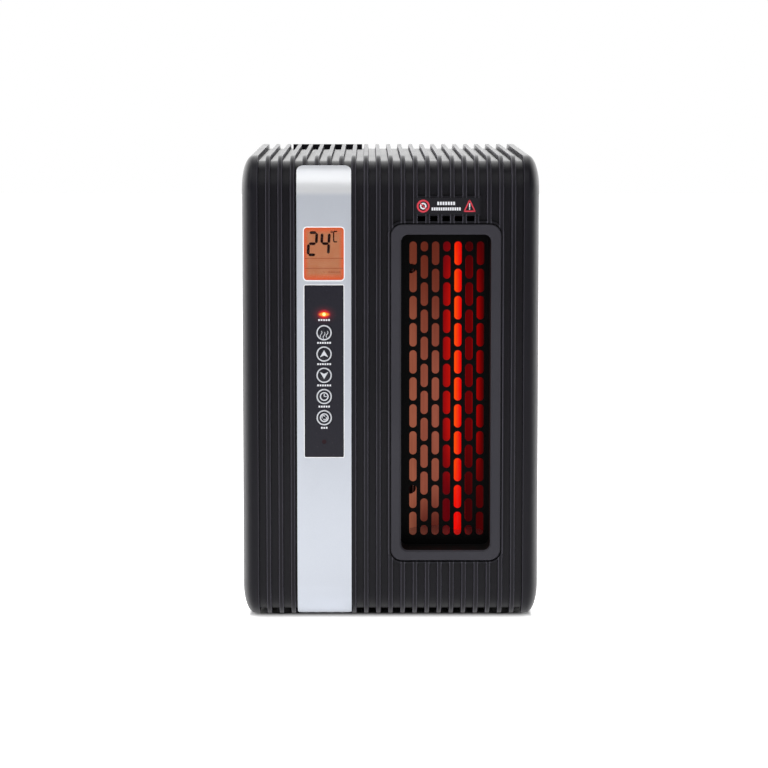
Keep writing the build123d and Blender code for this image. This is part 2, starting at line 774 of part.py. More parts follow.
with BuildPart() as outlet_badge:
    with BuildSketch(facing(pad_face)):
        with Locations((badge_x, pad_z)):
            RectangleRounded(badge_width, badge_height, 0.8)
    extrude(amount=badge_thickness)
outlet_badge.part.label = "outlet_badge"
export_step(outlet_badge.part, "parts/outlet_badge.step")

# ---------------------------------------------------------------- heat chamber
chamber_z = (chamber_bottom + chamber_top) / 2
chamber_height = chamber_top - chamber_bottom
leg_length = 40.0
with BuildPart() as heat_chamber:
    with BuildSketch(facing(chamber_back)):
        with Locations((outlet_x, chamber_z)):
            Rectangle(chamber_width + 2 * sheet, chamber_height)
            Rectangle(chamber_width, chamber_height - 2 * sheet, mode=Mode.SUBTRACT)
    extrude(amount=chamber_depth)
    with BuildSketch(facing(chamber_front + sheet)):
        with Locations((outlet_x, outlet_z)):
            RectangleRounded(guard_width, guard_height, 4)
            Rectangle(chamber_width, chamber_height - 2 * sheet, mode=Mode.SUBTRACT)
        with Locations(*guard_screw_places):
            Circle(guard_screw_radius + bore_gap, mode=Mode.SUBTRACT)
    extrude(amount=sheet)
    # the side sheets run down to the tray as legs
    with BuildSketch(Plane.XY.offset(tray_top)):
        with Locations((outlet_x, chamber_front + 20 + leg_length / 2)):
            with GridLocations(chamber_width + sheet, 1, 2, 1):
                Rectangle(sheet, leg_length)
    extrude(amount=chamber_bottom + sheet - tray_top)
    # the tube passes through the floor and the roof
    with BuildSketch(Plane.XY.offset(chamber_bottom)):
        with Locations((tube_x, tube_y)):
            Circle(tube_radius + seat_gap)
    extrude(amount=chamber_height, mode=Mode.SUBTRACT)
heat_chamber.part.label = "heat_chamber"
export_step(heat_chamber.part, "parts/heat_chamber.step")

reflector_span = chamber_width / 2 - reflector_gap
reflector_hole_x = outlet_x - reflector_span + reflector_hole_inset
upper_hole_z = outlet_z + opening_height / 2 - upper_hole_drop
lower_hole_z = outlet_z - opening_height / 2 + lower_hole_lift
with BuildPart() as copper_reflector:
    with BuildSketch(Plane.XY.offset(chamber_bottom + sheet)):
        with BuildLine():
            ThreePointArc(
                (outlet_x - reflector_span, tube_y + reflector_back - reflector_sweep),
                (outlet_x, tube_y + reflector_back),
                (outlet_x + reflector_span, tube_y + reflector_back - reflector_sweep),
            )
        trace(line_width=reflector_thickness)
    extrude(amount=chamber_height - 2 * sheet)
    with BuildSketch(facing(tube_y + reflector_back + 5)):
        with Locations((reflector_hole_x, upper_hole_z), (reflector_hole_x, lower_hole_z)):
            Circle(reflector_hole)
    extrude(amount=reflector_sweep + 10, mode=Mode.SUBTRACT)
copper_reflector.part.label = "copper_reflector"
export_step(copper_reflector.part, "parts/copper_reflector.step")

with BuildPart() as quartz_tube:
    with BuildSketch(Plane.XY.offset(cap_bottom + cap_length - cap_seat)):
        with Locations((tube_x, tube_y)):
            Circle(tube_radius)
            Circle(tube_radius - tube_wall, mode=Mode.SUBTRACT)
    extrude(amount=cap_top - cap_bottom - 2 * (cap_length - cap_seat))
quartz_tube.part.label = "quartz_tube"
export_step(quartz_tube.part, "parts/quartz_tube.step")

with BuildPart() as heating_coil:
    with BuildSketch(Plane.XY.offset(cap_bottom + cap_length - cap_seat)):
        with Locations((tube_x, tube_y)):
            Circle(coil_radius)
            Circle(coil_radius - coil_wall, mode=Mode.SUBTRACT)
    extrude(amount=cap_top - cap_bottom - 2 * (cap_length - cap_seat))
heating_coil.part.label = "heating_coil"
export_step(heating_coil.part, "parts/heating_coil.step")

for cap_name, cap_z in (("lower_ceramic_cap", cap_bottom), ("upper_ceramic_cap", cap_top - cap_length)):
    with BuildPart() as ceramic_cap:
        with BuildSketch(Plane.XY.offset(cap_z)):
            with Locations((tube_x, tube_y)):
                Circle(cap_radius)
        extrude(amount=cap_length)
        fillet(ceramic_cap.edges().filter_by(GeomType.CIRCLE), 0.8)
        with BuildSketch(Plane.XY.offset(cap_z if cap_z > chamber_z else cap_z + cap_length - cap_seat)):
            with Locations((tube_x, tube_y)):
                Circle(tube_radius + bore_gap)
        extrude(amount=cap_seat, mode=Mode.SUBTRACT)
    ceramic_cap.part.label = cap_name
    export_step(ceramic_cap.part, "parts/" + cap_name + ".step")

with BuildPart() as tube_brackets:
    for sheet_z, cap_end in ((chamber_bottom, cap_bottom - plate / 2), (chamber_top, cap_top + plate / 2)):
        with BuildSketch(facing(tube_y + bracket_depth / 2)):
            with BuildLine():
                Polyline(
                    (tube_x - bracket_width / 2, sheet_z),
                    (tube_x - bracket_width / 2, cap_end),
                    (tube_x + bracket_width / 2, cap_end),
                    (tube_x + bracket_width / 2, sheet_z),
                )
            trace(line_width=plate)
        extrude(amount=bracket_depth)
tube_brackets.part.label = "tube_brackets"
export_step(tube_brackets.part, "parts/tube_brackets.step")

with BuildPart() as thermal_cutout:
    with BuildSketch(Plane.YZ.offset(outlet_x - chamber_width / 2 - sheet)):
        with Locations((chamber_back - 30, chamber_top - 45)):
            Circle(8)
    extrude(amount=-7)
    with BuildSketch(Plane.YZ.offset(outlet_x - chamber_width / 2 - sheet)):
        with Locations((chamber_back - 30, chamber_top - 45)):
            Rectangle(30, 9)
    extrude(amount=-0.8)
thermal_cutout.part.label = "thermal_cutout"
export_step(thermal_cutout.part, "parts/thermal_cutout.step")

# ---------------------------------------------------------------- cross-flow blower
scroll_half = chamber_width / 2 + sheet / 2
scroll_end_y = rotor_y + rotor_radius + 10
tongue_radius = rotor_radius + tongue_gap
tongue = (rotor_x + tongue_radius * cos(radians(25)), rotor_y - tongue_radius * sin(radians(25)))
plate_width = chamber_width + 2 * sheet + 12
with BuildPart() as blower_scroll:
    with BuildSketch(Plane.XY.offset(scroll_bottom)):
        with BuildLine():
            left_wall = Line((outlet_x - scroll_half, chamber_back), (outlet_x - scroll_half, rotor_y))
            TangentArc(left_wall @ 1, (rotor_x + 8, scroll_end_y), tangent=(0, 1))
        trace(line_width=sheet)
    extrude(amount=scroll_top - scroll_bottom)
    with BuildSketch(Plane.XY.offset(scroll_bottom)):
        with BuildLine():
            Polyline(
                (outlet_x + scroll_half, chamber_back),
                (outlet_x + scroll_half, chamber_back + 18),
                tongue,
                (tongue[0] + 7, tongue[1] + 5),
            )
        trace(line_width=sheet)
    extrude(amount=scroll_top - scroll_bottom)
    for end_z in (scroll_bottom - plate, scroll_top):
        with BuildSketch(Plane.XY.offset(end_z)):
            with Locations((outlet_x, (chamber_back + scroll_end_y + 4) / 2)):
                Rectangle(plate_width, scroll_end_y + 4 - chamber_back)
            with Locations((rotor_x, rotor_y)):
                Circle(shaft_radius + 2.5, mode=Mode.SUBTRACT)
        extrude(amount=plate)
blower_scroll.part.label = "blower_scroll"
export_step(blower_scroll.part, "parts/blower_scroll.step")

blade_root = rotor_radius - blade_chord - 0.5
with BuildSketch(Plane.XY) as blade:
    with BuildLine():
        ThreePointArc((0, 0), (blade_chord * 0.45, 1.1), (blade_chord, 3.2))
    trace(line_width=blade_thickness)

disc_heights = [rotor_bottom, (rotor_bottom + rotor_top - disc_thickness) / 2, rotor_top - disc_thickness]
with BuildPart() as fan_rotor:
    for disc_z in disc_heights:
        with BuildSketch(Plane((rotor_x, rotor_y, disc_z))):
            Circle(rotor_radius)
            Circle(shaft_radius + bore_gap, mode=Mode.SUBTRACT)
        extrude(amount=disc_thickness)
    for hub_z in (rotor_bottom, rotor_top - hub_length):
        with BuildSketch(Plane((rotor_x, rotor_y, hub_z))):
            Circle(hub_radius)
            Circle(shaft_radius + bore_gap, mode=Mode.SUBTRACT)
        extrude(amount=hub_length)
    with BuildSketch(Plane((rotor_x, rotor_y, rotor_bottom + disc_thickness / 2))):
        with PolarLocations(blade_root, blade_count):
            add(blade.sketch)
    extrude(amount=rotor_top - rotor_bottom - disc_thickness)
fan_rotor.part.label = "fan_rotor"
export_step(fan_rotor.part, "parts/fan_rotor.step")

motor_top = bracket_top - plate
motor_bottom = motor_top - motor_height
with BuildPart() as rotor_shaft:
    with BuildSketch(Plane((rotor_x, rotor_y, motor_bottom + 6.3))):
        Circle(shaft_radius)
    extrude(amount=scroll_top + plate + bearing_height + 1 - motor_bottom - 6.3)
    chamfer(rotor_shaft.edges().filter_by(GeomType.CIRCLE), 0.4)
rotor_shaft.part.label = "rotor_shaft"
export_step(rotor_shaft.part, "parts/rotor_shaft.step")

with BuildPart() as fan_motor:
    with BuildSketch(Plane((rotor_x, rotor_y, motor_bottom))):
        Circle(motor_radius)
    extrude(amount=motor_height)
    fillet(fan_motor.faces().sort_by(Axis.Z)[0].edges(), 4)
    with BuildSketch(Plane((rotor_x, rotor_y, motor_bottom))):
        with PolarLocations(motor_radius - 9, 8):
            SlotOverall(8, 3, rotation=90)
    extrude(amount=1.5, mode=Mode.SUBTRACT)
    with BuildSketch(Plane((rotor_x, rotor_y, motor_bottom + 6))):
        Circle(shaft_radius + running_gap)
    extrude(amount=motor_height, mode=Mode.SUBTRACT)
fan_motor.part.label = "fan_motor"
export_step(fan_motor.part, "parts/fan_motor.step")

bracket_half = motor_radius + 7
with BuildPart() as motor_bracket:
    with BuildSketch(Plane((rotor_x, rotor_y, motor_top))):
        Rectangle(2 * bracket_half, 2 * motor_radius)
        Circle(shaft_radius + 6, mode=Mode.SUBTRACT)
    extrude(amount=plate)
    with BuildSketch(Plane((rotor_x, rotor_y, tray_top))):
        with GridLocations(2 * bracket_half - plate, 1, 2, 1):
            Rectangle(plate, 2 * motor_radius)
    extrude(amount=motor_top - tray_top)
motor_bracket.part.label = "motor_bracket"
export_step(motor_bracket.part, "parts/motor_bracket.step")

with BuildPart() as bearing_bush:
    with BuildSketch(Plane((rotor_x, rotor_y, scroll_top + plate))):
        Circle(bush_radius)
        Circle(shaft_radius + running_gap, mode=Mode.SUBTRACT)
    extrude(amount=bearing_height)
bearing_bush.part.label = "bearing_bush"
export_step(bearing_bush.part, "parts/bearing_bush.step")

with BuildPart() as bearing_housing:
    with BuildSketch(Plane((rotor_x, rotor_y, scroll_top + plate))):
        Circle(bush_radius + 3)
        Circle(bush_radius + bore_gap, mode=Mode.SUBTRACT)
    extrude(amount=bearing_height)
    with BuildSketch(Plane((rotor_x, rotor_y, scroll_top + plate))):
        RectangleRounded(36, 20, 4)
        Circle(bush_radius + bore_gap, mode=Mode.SUBTRACT)
    extrude(amount=1.6)
bearing_housing.part.label = "bearing_housing"
export_step(bearing_housing.part, "parts/bearing_housing.step")

# ---------------------------------------------------------------- base, tray and electrics
tray_half = panel_inner - flange_reach - 1.5
tray_depth = overall_depth - 2 * crest_radius - 2
board_corner = (-50.0, 10.0)
board_span = (56.0, 96.0)
board_lift = 12.0
core_size = (34.0, 28.0)
core_height = 24.0
winding_size = (22.0, 36.0)
relay_size = (16.0, 20.0)
relay_height = 16.0
terminal_height = 12.0
post_places = [
    (board_corner[0] + sx * (board_span[0] / 2 - 4), board_corner[1] + sy * (board_span[1] / 2 - 4))
    for sx in (-1, 1)
    for sy in (-1, 1)
]
power_board_top = tray_top + board_lift + board_thickness
with BuildPart() as chassis_tray:
    with BuildSketch(Plane.XY.offset(floor_inside)):
        Rectangle(2 * tray_half, tray_depth)
        with Locations(*foot_places):
            Circle(screw_radius + bore_gap, mode=Mode.SUBTRACT)
    extrude(amount=plate)
    with BuildSketch(Plane.XY.offset(tray_top)):
        with Locations(*post_places):
            Circle(3)
    extrude(amount=board_lift)
chassis_tray.part.label = "chassis_tray"
export_step(chassis_tray.part, "parts/chassis_tray.step")

with BuildPart() as power_board:
    with BuildSketch(Plane.XY.offset(tray_top + board_lift)):
        with Locations(board_corner):
            Rectangle(*board_span)
    extrude(amount=board_thickness)
power_board.part.label = "power_board"
export_step(power_board.part, "parts/power_board.step")

with BuildPart() as transformer:
    with BuildSketch(Plane.XY.offset(power_board_top)):
        with Locations((board_corner[0] - 4, board_corner[1] - 24)):
            Rectangle(*core_size)
    extrude(amount=core_height)
    with BuildSketch(Plane.XY.offset(power_board_top + 4)):
        with Locations((board_corner[0] - 4, board_corner[1] - 24)):
            Rectangle(*winding_size)
    extrude(amount=core_height - 8)
transformer.part.label = "transformer"
export_step(transformer.part, "parts/transformer.step")

with BuildPart() as relays:
    with BuildSketch(Plane.XY.offset(power_board_top)):
        with Locations((board_corner[0], board_corner[1] + 18)):
            with GridLocations(24, 1, 2, 1):
                Rectangle(*relay_size)
    extrude(amount=relay_height)
    fillet(relays.edges().filter_by(Axis.Z), 1)
relays.part.label = "relays"
export_step(relays.part, "parts/relays.step")

with BuildPart() as terminal_block:
    with BuildSketch(Plane.XY.offset(tray_top)):
        with Locations((gland_x + 6, back - 50)):
            Rectangle(36, 16)
    extrude(amount=terminal_height)
    with BuildSketch(Plane.XY.offset(tray_top + terminal_height)):
        with Locations((gland_x + 6, back - 50)):
            with GridLocations(11, 1, 3, 1):
                Circle(2.8)
    extrude(amount=-7, mode=Mode.SUBTRACT)
terminal_block.part.label = "terminal_block"
export_step(terminal_block.part, "parts/terminal_block.step")

with BuildPart() as tilt_switch:
    with BuildSketch(Plane.XY.offset(tray_top)):
        with Locations((fascia_x - 20, front + 75)):
            RectangleRounded(22, 16, 2)
    extrude(amount=14)
tilt_switch.part.label = "tilt_switch"
export_step(tilt_switch.part, "parts/tilt_switch.step")

with BuildPart() as room_sensor:
    with BuildSketch(Plane.XY.offset(tray_top)):
        with Locations((70, back - 60)):
            Rectangle(8, 3)
    extrude(amount=30)
    with Locations((70, back - 60, tray_top + 32)):
        Sphere(2.6)
room_sensor.part.label = "room_sensor"
export_step(room_sensor.part, "parts/room_sensor.step")

foot_well = 2.4         # depth of the well for the screw's head
with BuildPart() as rubber_feet:
    with BuildSketch(Plane.XY):
        with Locations(*foot_places):
            Circle(foot_radius)
    extrude(amount=base + recess)
    fillet(rubber_feet.faces().filter_by(Axis.Z).group_by(Axis.Z)[0].edges(), 0.9)
    with BuildSketch(Plane.XY):
        with Locations(*foot_places):
            Circle(4)
    extrude(amount=foot_well, mode=Mode.SUBTRACT)
    with BuildSketch(Plane.XY):
        with Locations(*foot_places):
            Circle(screw_radius + screw_gap)
    extrude(amount=base + recess, mode=Mode.SUBTRACT)
rubber_feet.part.label = "rubber_feet"
export_step(rubber_feet.part, "parts/rubber_feet.step")

foot_screw = screw(3.0, 1.6, screw_radius, tray_top - foot_well + plate)
foot_planes = [Plane(origin=(x, y, foot_well), x_dir=(1, 0, 0), z_dir=(0, 0, -1)) for x, y in foot_places]
with BuildPart() as foot_screws:
    with Locations(*foot_planes):
        add(foot_screw)
foot_screws.part.label = "foot_screws"
export_step(foot_screws.part, "parts/foot_screws.step")

# ---------------------------------------------------------------- back fittings
case_screw = screw(screw_head - 0.3, 1.5, screw_radius, 10)
case_planes = [
    Plane(origin=(x, back - recess, z), x_dir=(1, 0, 0), z_dir=(0, 1, 0)) for x, z in edge_screw_places
]
with BuildPart() as case_screws:
    with Locations(*case_planes):
        add(case_screw)
case_screws.part.label = "case_screws"
export_step(case_screws.part, "parts/case_screws.step")

with BuildPart() as intake_cover:
    with BuildSketch(facing(cover_inner)):
        with Locations((0, cover_z)):
            Rectangle(cover_width, cover_height)
    extrude(amount=-cover_thickness)
    upright = intake_cover.edges().filter_by(Axis.Y)
    fillet(upright.group_by(Axis.Z)[-1], 4)
    bottom_face = intake_cover.faces().sort_by(Axis.Z)[0]
    fillet(bottom_face.edges().filter_by(Axis.X), cover_thickness / 2 - 0.05)
    with BuildSketch(facing(cover_inner)):
        with Locations((0, cover_z)):
            with GridLocations(
                louvre_length + louvre_gap, louvre_width + louvre_bar, louvre_columns, louvre_rows
            ):
                SlotOverall(louvre_length, louvre_width)
    extrude(amount=-cover_thickness, mode=Mode.SUBTRACT)
    with BuildSketch(facing(cover_inner)):
        with Locations((0, filter_z)):
            Rectangle(lip_width, lip_height)
            Rectangle(lip_width - 2 * lip_wall, lip_height - 2 * lip_wall, mode=Mode.SUBTRACT)
    extrude(amount=lip_reach)
    with BuildSketch(Plane.YZ.offset(-cover_width / 2 - ear_width)):
        with Locations((hinge_y, hinge_z)):
            Circle(hinge_radius)
    extrude(amount=cover_width + 2 * ear_width)
    with BuildSketch(facing(back)):
        with Locations((0, cover_top - 6)):
            SlotOverall(26, 7)
    extrude(amount=2.2, mode=Mode.SUBTRACT)
intake_cover.part.label = "intake_cover"
export_step(intake_cover.part, "parts/intake_cover.step")

with BuildPart() as filter_mat:
    with BuildSketch(facing(cover_inner - seat_gap)):
        with Locations((0, filter_z)):
            RectangleRounded(filter_width, filter_height, 1)
    extrude(amount=filter_thickness)
filter_mat.part.label = "filter_mat"
export_step(filter_mat.part, "parts/filter_mat.step")

guard_ring = 5.4
with BuildPart() as intake_guard:
    with BuildSketch(facing(back - inside)):
        with Locations((0, filter_z)):
            RectangleRounded(window_width + 6, window_height + 6, 5)
            RectangleRounded(window_width + 1, window_height + 1, 3, mode=Mode.SUBTRACT)
    extrude(amount=guard_ring)
    with BuildSketch(facing(back - inside - guard_ring + sheet)):
        with Locations((0, filter_z)):
            RectangleRounded(window_width + 6, window_height + 6, 5)
            with GridLocations(12, 12, int(window_width / 12), int(window_height / 12)):
                RectangleRounded(10.4, 10.4, 1.5, mode=Mode.SUBTRACT)
    extrude(amount=sheet)
intake_guard.part.label = "intake_guard"
export_step(intake_guard.part, "parts/intake_guard.step")

pivot_y = back - 8.0
with BuildPart() as switch_frame:
    with BuildSketch(facing(back - recess)):
        with Locations((switch_x, switch_z)):
            RectangleRounded(*switch_flange, 1.5)
    extrude(amount=-2)
    with BuildSketch(facing(back - recess)):
        with Locations((switch_x, switch_z)):
            Rectangle(*switch_body)
    extrude(amount=switch_depth)
    with BuildSketch(facing(back - recess - switch_depth)):
        with Locations((switch_x, switch_z)):
            with GridLocations(1, spade_pitch, 1, 3):
                Rectangle(*spade_size)
    extrude(amount=spade_length)
    with BuildSketch(facing(back)):
        with Locations((switch_x, switch_z)):
            Rectangle(*switch_opening)
    extrude(amount=15, mode=Mode.SUBTRACT)
    with BuildSketch(Plane.YZ.offset(switch_x - switch_opening[0] / 2 - 1.3)):
        with Locations((pivot_y, switch_z)):
            Circle(rocker_pin + running_gap)
    extrude(amount=switch_opening[0] + 2.6, mode=Mode.SUBTRACT)
switch_frame.part.label = "switch_frame"
export_step(switch_frame.part, "parts/switch_frame.step")

rocker_width = switch_opening[0] - 0.6
tilt = radians(switch_tilt)
with BuildPart() as mains_rocker:
    with BuildSketch(
        Plane(
            origin=(switch_x - rocker_width / 2, pivot_y, switch_z),
            x_dir=(0, cos(tilt), sin(tilt)),
            z_dir=(1, 0, 0),
        )
    ):
        with BuildLine():
            Polyline(
                (6.4, 9.2), (4.6, 0), (6.4, -9.2), (1, -9.2), (-4, -3), (-4, 3), (1, 9.2), close=True
            )
        make_face()
    extrude(amount=rocker_width)
    with BuildSketch(Plane.YZ.offset(switch_x - switch_opening[0] / 2 - 1.0)):
        with Locations((pivot_y, switch_z)):
            Circle(rocker_pin)
    extrude(amount=switch_opening[0] + 2.0)
mains_rocker.part.label = "mains_rocker"
export_step(mains_rocker.part, "parts/mains_rocker.step")

gland_reach = 15.0
with BuildPart() as cord_gland:
    with BuildSketch(facing(back - recess)):
        with Locations((gland_x, gland_z)):
            Circle(gland_radius)
    extrude(amount=-3)
    fillet(cord_gland.faces().sort_by(Axis.Y)[-1].edges(), 1)
    with BuildSketch(facing(back - recess)):
        with Locations((gland_x, gland_z)):
            Circle(gland_sleeve)
    extrude(amount=gland_reach)
    with BuildSketch(facing(back)):
        with Locations((gland_x, gland_z)):
            Circle(gland_bore)
    extrude(amount=recess + gland_reach + 1, mode=Mode.SUBTRACT)
cord_gland.part.label = "cord_gland"
export_step(cord_gland.part, "parts/cord_gland.step")

with BuildPart() as gland_nut:
    with BuildSketch(facing(back - inside)):
        with Locations((gland_x, gland_z)):
            RegularPolygon(radius=9.5, side_count=6)
            Circle(gland_sleeve + running_gap, mode=Mode.SUBTRACT)
    extrude(amount=4.5)
gland_nut.part.label = "gland_nut"
export_step(gland_nut.part, "parts/gland_nut.step")

screen_top = top - inside - 4.2
screen_front = vent_front - 4
screen_back = vent_back + 3
screen_width = vent_opening[0] + 6
with BuildPart() as top_vent_screen:
    with BuildSketch(Plane.XY.offset(screen_top - plate)):
        with Locations((vent_x, (screen_front + screen_back) / 2)):
            Rectangle(screen_width, screen_back - screen_front)
            with GridLocations(4.2, 6.6, 12, 4):
                RectangleRounded(3.0, 5.4, 1, mode=Mode.SUBTRACT)
    extrude(amount=plate)
    with BuildSketch(Plane.XY.offset(screen_top - plate)):
        with Locations((vent_x, (screen_front + back - crest_radius - 2) / 2)):
            with GridLocations(screen_width - plate, 1, 2, 1):
                Rectangle(plate, back - crest_radius - 2 - screen_front)
    extrude(amount=top - inside - screen_top + plate)
top_vent_screen.part.label = "top_vent_screen"
export_step(top_vent_screen.part, "parts/top_vent_screen.step")
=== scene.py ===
"""Finishes, printed marks, glow and studio for the upright quartz-tube space heater.

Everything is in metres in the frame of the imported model: +X right, +Y to the back, +Z up, with the origin
on the floor.
"""
import json
import math

import bmesh
import bpy
import numpy as np
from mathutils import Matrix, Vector


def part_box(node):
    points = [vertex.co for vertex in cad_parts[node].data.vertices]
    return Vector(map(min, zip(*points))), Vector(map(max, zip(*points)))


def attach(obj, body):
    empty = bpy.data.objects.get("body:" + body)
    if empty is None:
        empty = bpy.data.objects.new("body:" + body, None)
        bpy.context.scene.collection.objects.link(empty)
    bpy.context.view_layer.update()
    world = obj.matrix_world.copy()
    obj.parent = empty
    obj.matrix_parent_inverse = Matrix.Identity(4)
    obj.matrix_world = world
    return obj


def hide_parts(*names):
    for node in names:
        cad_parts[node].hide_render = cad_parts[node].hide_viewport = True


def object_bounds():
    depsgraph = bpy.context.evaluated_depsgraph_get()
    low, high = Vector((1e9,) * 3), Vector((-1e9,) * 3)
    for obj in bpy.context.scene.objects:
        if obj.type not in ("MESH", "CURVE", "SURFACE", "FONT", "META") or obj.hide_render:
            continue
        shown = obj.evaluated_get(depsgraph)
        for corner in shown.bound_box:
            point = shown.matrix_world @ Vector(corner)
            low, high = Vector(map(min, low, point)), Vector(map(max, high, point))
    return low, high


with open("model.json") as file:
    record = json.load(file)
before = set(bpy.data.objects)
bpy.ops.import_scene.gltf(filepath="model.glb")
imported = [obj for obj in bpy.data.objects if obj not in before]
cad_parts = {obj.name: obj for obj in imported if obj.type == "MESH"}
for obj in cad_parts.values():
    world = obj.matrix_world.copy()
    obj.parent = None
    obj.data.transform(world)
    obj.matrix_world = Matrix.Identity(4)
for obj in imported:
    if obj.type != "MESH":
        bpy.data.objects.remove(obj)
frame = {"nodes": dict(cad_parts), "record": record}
cad_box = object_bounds()
nodes = frame["nodes"]

MM = 0.001


# ------------------------------------------------------------------ places read from the frame
def corners(name):
    """The lowest and highest corners of a node, as arrays."""
    low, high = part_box(name)
    return np.array(low), np.array(high)


def middle(name):
    """The middle of a node's box."""
    low, high = corners(name)
    return (low + high) / 2


case_low, case_high = (np.array(corner) for corner in cad_box)
front_y = case_low[1]
top_z = case_high[2]
strip_face = corners("control_fascia")[0][1]
window_low, window_high = corners("display_window")
display_mid = (window_low + window_high) / 2
display_size = window_high - window_low
overlay_face = corners("keypad_overlay")[0][1]
key_face = corners("heat_key")[0][1]
badge_low, badge_high = corners("outlet_badge")
tube_mid = middle("quartz_tube")
coil_low, coil_high = corners("heating_coil")
led_mid = middle("power_led")
reflector_low, reflector_high = corners("copper_reflector")
mat_low, mat_high = corners("filter_mat")
RIB_PITCH = 8.63 * MM      # from one rib of the case to the next, counted from its middle
CREST_HALF = 1.45 * MM     # half the width of a rib's crest
RIBBED_HALF = 92 * MM      # the ribs end here, beside the side panels
STRIP_BEND = 26 * MM       # how far below the top the silver strip starts to roll over


# ------------------------------------------------------------------ shader maths
class Wire:
    """One output socket. Sums and products of wires and numbers add the Math nodes that work them out."""

    def __init__(self, maker, socket):
        self.maker = maker
        self.socket = socket

    def maths(self, operation, *values):
        return self.maker.node("ShaderNodeMath", {"operation": operation}, dict(enumerate(values)))

    def __add__(self, other):
        return self.maths("ADD", self, other)

    def __sub__(self, other):
        return self.maths("SUBTRACT", self, other)

    def __rsub__(self, other):
        return self.maths("SUBTRACT", other, self)

    def __mul__(self, other):
        return self.maths("MULTIPLY", self, other)

    def __truediv__(self, other):
        return self.maths("DIVIDE", self, other)

    def __rtruediv__(self, other):
        return self.maths("DIVIDE", other, self)

    def __pow__(self, other):
        return self.maths("POWER", self, other)

    __radd__ = __add__
    __rmul__ = __mul__

    def __abs__(self):
        return self.maths("ABSOLUTE", self)

    def most(self, other):
        return self.maths("MAXIMUM", self, other)

    def off_nearest(self, period):
        """How far the value is from the nearest multiple of a period."""
        return self.maths("PINGPONG", self, period / 2)

    def step(self, start, end):
        """0 before start, 1 after end and smooth between; start may be the larger."""
        return self.maker.node(
            "ShaderNodeMapRange",
            {"interpolation_type": "SMOOTHSTEP", "clamp": True},
            {"Value": self, "From Min": start, "From Max": end, "To Min": 0.0, "To Max": 1.0},
        )


class Nodes:
    """A node tree; node() adds any node to it and join() fills a socket with a wire or a value."""

    def __init__(self, tree):
        self.tree = tree

    def join(self, socket, value):
        if isinstance(value, Wire):
            self.tree.links.new(value.socket, socket)
        elif isinstance(value, tuple) and len(value) == 3 and socket.type == "RGBA":
            socket.default_value = (*value, 1.0)
        else:
            socket.default_value = value

    def node(self, kind, settings=None, inputs=None, output=0):
        """A new node of a kind, with its settings, its sockets' values or wires, and one output as a wire."""
        made = self.tree.nodes.new(kind)
        for name, value in (settings or {}).items():
            setattr(made, name, value)
        for name, value in (inputs or {}).items():
            self.join(made.inputs[name], value)
        return Wire(self, made.outputs[output])

    def split(self, vector):
        """The three parts of a vector."""
        outputs = self.node("ShaderNodeSeparateXYZ", inputs={0: vector}).socket.node.outputs
        return [Wire(self, outputs[index]) for index in range(3)]


class Finish(Nodes):
    """A material with one Principled shader, whose sockets feed() fills."""

    def __init__(self, name, **uniform):
        self.material = bpy.data.materials.new(name)
        self.material.use_nodes = True
        super().__init__(self.material.node_tree)
        self.shader = self.tree.nodes["Principled BSDF"]
        self.feed(**uniform)

    def feed(self, **values):
        """Sets the Principled shader's sockets; Base_Color stands for Base Color."""
        for name, value in values.items():
            self.join(self.shader.inputs[name.replace("_", " ")], value)

    def place(self, scale=(1, 1, 1), centre=(0, 0, 0)):
        """Object coordinates, moved so that a centre is at zero and then scaled."""
        where = self.node("ShaderNodeTexCoord", output="Object")
        shift = tuple(-c * s for c, s in zip(centre, scale))
        return self.node("ShaderNodeMapping", inputs={"Vector": where, "Location": shift, "Scale": scale})

    def axes(self, centre=(0, 0, 0)):
        """The three object coordinates, measured from a centre, in metres."""
        return self.split(self.place(centre=centre))

    def noise(self, scale, detail=2.0, roughness=0.5, stretch=(1, 1, 1)):
        """Cloudy noise; a stretch below 1 draws it out along that axis."""
        return self.node(
            "ShaderNodeTexNoise",
            inputs={"Vector": self.place(stretch), "Scale": scale, "Detail": detail, "Roughness": roughness},
        )

    def cells(self, scale):
        """Distance to the nearest of many scattered points."""
        return self.node("ShaderNodeTexVoronoi", inputs={"Vector": self.place(), "Scale": scale})

    def blend(self, factor, one, other):
        """One colour to another as the factor goes from 0 to 1."""
        return self.node("ShaderNodeMix", {"data_type": "RGBA"}, {0: factor, 6: one, 7: other}, output=2)

    def emboss(self, height, depth):
        """A bump whose full height is depth, in metres."""
        inputs = {"Height": height, "Distance": depth, "Strength": 1.0}
        self.feed(Normal=self.node("ShaderNodeBump", inputs=inputs))


def screen(red, green, blue):
    """A screen colour of 0 to 255 as linear light."""
    values = np.array([red, green, blue]) / 255
    linear = np.where(values <= 0.04045, values / 12.92, ((values + 0.055) / 1.055) ** 2.4)
    return tuple(float(value) for value in linear)


